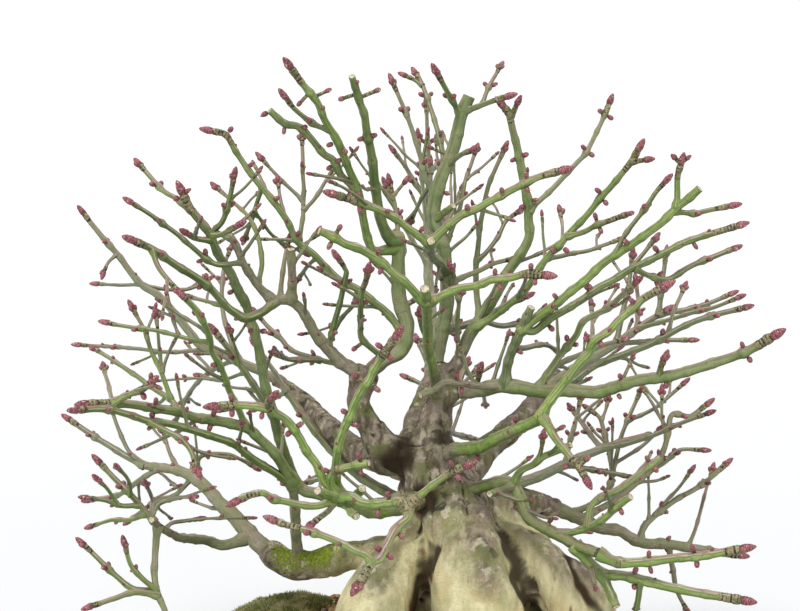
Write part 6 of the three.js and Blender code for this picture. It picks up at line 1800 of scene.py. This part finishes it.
# Twigs: green below, red brown on the sun side, with pale ridges, ringed tips and grey old wood, painted
# shade on their undersides and a painted highlight on their tops
def twig_material():
    f = Finish("green_winged_wood", Specular_IOR_Level=0.4)
    along = f.vector(stretch=(1.5, 1.5, 0.13))
    grain = f.vector()
    streak, patch = f.noise(along, 2.2, 4), f.noise(grain, 0.11, 2)
    lines = f.noise(f.vector(stretch=(2.6, 2.6, 0.1)), 2.6, 3)
    fleck = f.noise(f.vector(stretch=(0.7, 0.7, 3.2)), 1.3, 3)
    age, scar, ridge, tint = f.layer("age"), f.layer("scar"), f.layer("ridge"), f.layer("tint")
    colour = f.tones(patch, 0.35, 0.65, (108, 130, 72), (142, 158, 102))
    fresh = f.tones(patch, 0.35, 0.65, (126, 162, 66), (160, 188, 96))
    colour = f.mix(f.step(tint, 0.35, 0.95), colour, fresh)
    colour = f.coats(colour, [
        (tint, 0.5, 0.05, 0.75, (158, 164, 136)),
        (streak, 0.42, 0.72, 0.5, (88, 108, 56)),
        (lines, 0.56, 0.66, 0.6, (66, 72, 40)),
    ])
    upper = f.plus(f.facing_up(), f.step(streak, 0.3, 0.7, -0.4, 0.4))
    sun = f.times(f.step(upper, -0.1, 0.75), f.layer("red"))
    colour = f.mix(sun, colour, f.tones(patch, 0.3, 0.7, (170, 146, 124), (152, 122, 114)))
    wood = f.tones(streak, 0.35, 0.7, (172, 160, 142), (116, 104, 88))
    wood = f.coat(wood, patch, 0.4, 0.6, 0.7, (128, 136, 92))
    colour = f.mix(f.step(f.plus(age, f.step(patch, 0.3, 0.7, -0.15, 0.15)), 0.25, 0.85), colour, wood)
    furrow = f.times(f.step(ridge, 0.12, 0.3), f.step(ridge, 0.5, 0.38))
    colour = f.mix(f.times(furrow, 0.42), colour, paint(62, 72, 40))
    colour = f.coat(colour, ridge, 0.62, 0.85, 0.4, (190, 200, 152))
    straw = f.tones(fleck, 0.42, 0.6, (168, 158, 118), (116, 102, 74))
    straw = f.coat(straw, f.noise(grain, 0.6, 2), 0.48, 0.6, 1, (112, 116, 68))
    height_along = f.add("ShaderNodeSeparateXYZ", {0: grain}).outputs["Z"]
    ring = f.maths("FRACT", f.plus(f.times(height_along, 0.85), f.times(fleck, 0.5)))
    mark = f.times(f.step(ring, 0.6, 0.8), f.step(f.noise(grain, 1.3, 2), 0.46, 0.58))
    straw = f.mix(mark, straw, paint(48, 38, 30))
    colour = f.mix(f.step(scar, 0.3, 0.75), colour, straw)
    # painted highlight: pale streaks on the upward faces of young twigs, where light falls
    painted_highlight = f.times(f.step(f.facing_up(), 0.35, 0.9), f.step(f.noise(along, 1.1, 2), 0.52, 0.66))
    painted_highlight = f.times(painted_highlight, f.step(tint, 0.5, 0.9, 0.1, 0.6))
    colour = f.mix(f.times(painted_highlight, f.step(age, 0.5, 0.2)), colour, paint(204, 214, 200))
    spots = f.step(f.cells(grain, 0.7), 0.2, 0.12)
    colour = f.mix(f.times(spots, 0.55), colour, paint(98, 72, 54))
    # painted shade: the undersides of the twigs darker olive
    colour = f.coat(colour, f.facing_up(), 0.05, -0.85, 0.6, (58, 62, 36))
    broken = f.times(f.layer("dark"), f.step(f.noise(grain, 1.1, 2), 0.4, 0.56))
    colour = f.coat(colour, broken, 0.22, 0.6, 1, (46, 36, 28))
    face = f.tones(f.noise(grain, 1.4, 3), 0.4, 0.65, (212, 202, 176), (170, 150, 118))
    colour = f.mix(f.step(f.layer("cut"), 0.5, 0.9), colour, face)
    height = f.plus(f.times(streak, 0.7), f.times(fleck, f.step(scar, 0.2, 0.8)))
    rough = f.step(age, 0.1, 0.8, 0.42, 0.82)
    return f.finish(colour, rough, height, 0.6, 0.0004)


# Buds: pairs of red scales with dark edges and a pale fringe, and painted highlights in pale pink and cream
def bud_material():
    f = Finish("red_bud_scales", Specular_IOR_Level=0.45, Coat_Weight=0.1, Coat_Roughness=0.4)
    row, tint, place = f.layer("dark"), f.layer("tint"), f.layer("cut")
    turn = f.less(1.0, f.times(f.maths("MODULO", f.maths("FLOOR", row), 2.0), 2.0))
    wave = f.times(f.times(f.layer("scale"), SCALE_WAVE), turn)
    scale = f.maths("FRACT", f.plus(row, wave))
    mottle = f.noise(f.vector(), 1.5, 3)
    red = f.tones(tint, 0.1, 0.7, (124, 48, 60), (154, 76, 88))
    red = f.coats(red, [
        # painted highlight: pale pink patches where the mottle is high
        (mottle, 0.48, 0.68, 0.45, (192, 134, 138)),
        (tint, 0.55, 0.95, 0.7, (146, 106, 88)),
        (scale, 0.45, 0.0, 0.8, (84, 36, 42)),
        (scale, 0.62, 0.8, 0.5, (206, 148, 148)),
        (scale, 0.88, 0.95, 0.95, (56, 30, 28)),
        (place, 0.34, 0.06, 0.85, (84, 58, 44)),
        # painted highlight: cream glints in small patches
        (f.noise(f.vector(), 0.9, 2), 0.64, 0.7, 0.8, (226, 206, 184)),
    ])
    return f.finish(red, 0.45, f.plus(scale, mottle), 0.5, 0.0003)


# Old wood: grey and mauve bark above, pale smooth lobes below, rust and moss, with painted shade in the
# fissures and hollows and a painted highlight on raised parts
def bark_material():
    f = Finish("grey_fluted_bark", Specular_IOR_Level=0.25)
    grain, tall = f.vector(), f.vector(stretch=(1, 1, 0.3))
    broad, middle, fine = f.noise(grain, 0.09, 3), f.noise(tall, 0.42, 5), f.noise(grain, 1.5, 4)
    hollow, lobe = f.layer("hollow"), f.layer("lobe")
    grey = f.tones(middle, 0.36, 0.64, (94, 84, 66), (166, 154, 136))
    grey = f.coats(grey, [
        (broad, 0.44, 0.6, 0.6, (140, 122, 114)),
        (f.noise(grain, 0.12, 3), 0.46, 0.62, 0.75, (110, 118, 66)),
        (f.noise(grain, 0.22, 4), 0.56, 0.66, 0.8, (200, 192, 166)),
        (f.noise(grain, 0.16, 4, distortion=0.5), 0.54, 0.64, 0.85, (50, 46, 34)),
    ])
    pale = f.tones(middle, 0.3, 0.7, (208, 198, 152), (236, 226, 182))
    pale = f.coat(pale, broad, 0.48, 0.64, 0.7, (214, 194, 142))
    pale = f.coat(pale, f.noise(grain, 0.1, 3), 0.42, 0.7, 0.75, (168, 168, 118))
    colour = f.mix(lobe, grey, pale)
    # rust brown, kept to the lobes' hollows: rust patches and painted shade in one
    rust_and_shade = f.times(f.step(f.noise(grain, 0.07, 2), 0.5, 0.62), f.step(hollow, 0.0, 0.3))
    colour = f.mix(f.times(rust_and_shade, lobe), colour, paint(134, 82, 42))
    flakes = f.times(f.step(fine, 0.45, 0.75, 0, 0.35), f.less(1.25, lobe))
    colour = f.mix(flakes, colour, paint(98, 86, 64))
    # painted shade: dark brown in the hollows, fissures and shady spots
    colour = f.coat(colour, hollow, 0.15, 0.7, 0.94, (50, 38, 22))
    # painted highlight: pale on the raised parts, where hollow is below zero
    colour = f.coat(colour, hollow, -0.25, -0.7, 0.4, (222, 214, 190))
    growth = f.plus(f.layer("mossy"), f.step(fine, 0.35, 0.7, -0.3, 0.3))
    moss = f.tones(f.noise(grain, 1.1, 3), 0.4, 0.62, (98, 116, 30), (138, 150, 46))
    colour = f.mix(f.step(growth, 0.42, 0.66), colour, moss)
    height = f.plus(f.times(middle, 1.2), fine)
    return f.finish(colour, 0.88, height, 0.8, 0.0008)


# Crumbs of baked clay, lava and grit, each with its own tint
def soil_material():
    f = Finish("bonsai_soil", Specular_IOR_Level=0.2)
    tint, grain = f.layer("tint"), f.vector()
    colour = f.tones(tint, 0.05, 0.4, (96, 66, 42), (168, 122, 74))
    colour = f.coats(colour, [
        (tint, 0.55, 0.62, 1, (196, 168, 124)),
        (tint, 0.8, 0.84, 1, (84, 60, 52)),
        (tint, 0.93, 0.95, 1, (208, 200, 184)),
    ])
    dust = f.noise(grain, 1.8, 4)
    colour = f.coat(colour, dust, 0.4, 0.72, 0.5, (70, 52, 36))
    colour = f.coat(colour, tint, 0.03, 0.0, 1, (62, 44, 30))
    return f.finish(colour, 0.95, dust, 0.8, 0.0005)


# Moss, brighter at the tips of its tufts, with dry patches
def moss_material():
    f = Finish("cushion_moss", Specular_IOR_Level=0.2, Sheen_Weight=0.25, Sheen_Roughness=0.5)
    tint, grain = f.layer("tint"), f.vector()
    colour = f.tones(tint, 0.1, 0.75, (82, 84, 36), (160, 164, 84))
    colour = f.coat(colour, f.noise(grain, 0.2, 3), 0.45, 0.65, 0.6, (196, 184, 130))
    return f.finish(colour, 0.9, f.noise(grain, 2.4, 3), 0.6, 0.0004)


# Unglazed brown stoneware with fire marks, specks and worn edges
def stoneware_material():
    f = Finish("unglazed_stoneware", Specular_IOR_Level=0.35)
    place = f.place()
    cloud, specks, tooth = f.noise(place, 28, 4), f.cells(place, 900), f.noise(place, 1400, 3)
    colour = f.tones(cloud, 0.35, 0.65, (104, 74, 56), (134, 98, 74))
    colour = f.coat(colour, f.noise(place, 90, 3), 0.55, 0.7, 0.5, (84, 62, 52))
    colour = f.coat(colour, specks, 0.22, 0.12, 0.7, (54, 40, 34))
    edge = f.step(f.add("ShaderNodeNewGeometry").outputs["Pointiness"], 0.51, 0.56, 0, 0.5)
    colour = f.mix(edge, colour, paint(164, 128, 98))
    height = f.plus(tooth, f.times(cloud, 2.0))
    return f.finish(colour, f.step(cloud, 0.3, 0.7, 0.62, 0.78), height, 0.35, 0.0003)


# Plastic or wire with slight wear
def plain_material(name, dark, light, roughness, metallic, scale):
    f = Finish(name, Metallic=metallic)
    place = f.place()
    wear = f.noise(place, scale, 4)
    rough = f.step(wear, 0.3, 0.7, roughness - 0.08, roughness + 0.1)
    return f.finish(f.tones(wear, 0.35, 0.7, dark, light), rough, wear, 0.3, 0.0002)


TWIG_MATERIAL = twig_material()
BUD_MATERIAL = bud_material()
BARK_MATERIAL = bark_material()
SOIL_MATERIAL = soil_material()
MOSS_MATERIAL = moss_material()
STONEWARE_MATERIAL = stoneware_material()
SCREEN_MATERIAL = plain_material("screen_plastic_moulded", (28, 38, 32), (44, 56, 48), 0.55, 0.0, 260)
WIRE_MATERIAL = plain_material("clip_wire_drawn", (120, 84, 58), (176, 132, 98), 0.42, 1.0, 500)

build_pot()
build_feet()
build_soil()
for patch in range(len(MOSS)):
    build_moss(patch)
build_wood()
for number, node in enumerate(sorted({stem.node for stem in STEMS.values()} - {"trunk_and_limbs"})):
    build_spray(node, number)
for end in (1, 2):
    for name, material in ((f"drain_screen_{end}", SCREEN_MATERIAL), (f"screen_clip_{end}", WIRE_MATERIAL)):
        mesh = frame["nodes"][name].data
        mesh.materials.clear()
        mesh.materials.append(material)


FLOOR_SIDES = 64
FLOOR_RINGS = [0.05, 0.3, 1.2, 8.0, 80.0]


# A pale floor that runs on past the horizon, with painted shade that darkens it near the middle
def build_floor():
    reach, spins = np.meshgrid(FLOOR_RINGS, turns(FLOOR_SIDES), indexing="ij")
    points = np.stack([reach * np.cos(spins), reach * np.sin(spins), 0 * reach], axis=-1).reshape(-1, 3)
    centre = len(points)
    faces = [ring_faces(len(FLOOR_RINGS), FLOOR_SIDES)[:, ::-1], fan_faces(centre, 0, FLOOR_SIDES)]
    floor = mesh_object("floor", np.vstack([points, (0, 0, 0)]), faces, np.zeros(centre))
    f = Finish("pale_floor", Specular_IOR_Level=0.1)
    place = f.place()
    away = f.add("ShaderNodeVectorMath", {0: place}, operation="LENGTH").outputs["Value"]
    # painted shade: the floor darker near the middle and paler further off, with a slight random blotch
    tone = f.plus(f.step(away, 0.2, 1.6), f.step(f.noise(place, 3.0, 2), 0.3, 0.7, -0.06, 0.06))
    colour = f.mix(tone, paint(218, 219, 220), paint(232, 232, 232))
    floor.data.materials.append(f.finish(colour, 0.9, tone, 0.02, 0.0005))


# A soft sun-like lamp: where it shines from, in degrees, and how strong it is
def add_lamp(name, azimuth, rise, angle, power):
    lamp = bpy.data.lights.new(name, "SUN")
    lamp.angle, lamp.energy = math.radians(angle), power
    new_object(name, lamp).rotation_euler = (math.radians(90 - rise), 0, math.radians(azimuth + 90))


# White studio light from all round, a key lamp from the left and a faint one from behind
def light_scene():
    world = bpy.data.worlds.new("white_studio")
    world.use_nodes = True
    background = world.node_tree.nodes["Background"]
    background.inputs["Color"].default_value = (1, 1, 1, 1)
    background.inputs["Strength"].default_value = 0.72
    bpy.context.scene.world = world
    add_lamp("key", -118, 62, 16, 2.1)
    add_lamp("rim", 60, 50, 30, 0.4)
    bpy.context.scene.view_settings.view_transform = "Standard"
    bpy.context.scene.view_settings.look = "None"


# The camera of the photograph
def place_camera():
    data = bpy.data.cameras.new("camera")
    data.sensor_width = 36
    data.lens = VIEW_FOCAL_PX * data.sensor_width / PICTURE_WIDTH_PX
    data.clip_start = 0.01
    camera = new_object("camera", data)
    camera.location = (VIEW_TARGET + VIEW_BACK * VIEW_DISTANCE + SHIFT) * MM
    camera.rotation_euler = (math.pi / 2 - VIEW_PITCH, 0, 0)
    bpy.context.scene.camera = camera


build_floor()
light_scene()
place_camera()
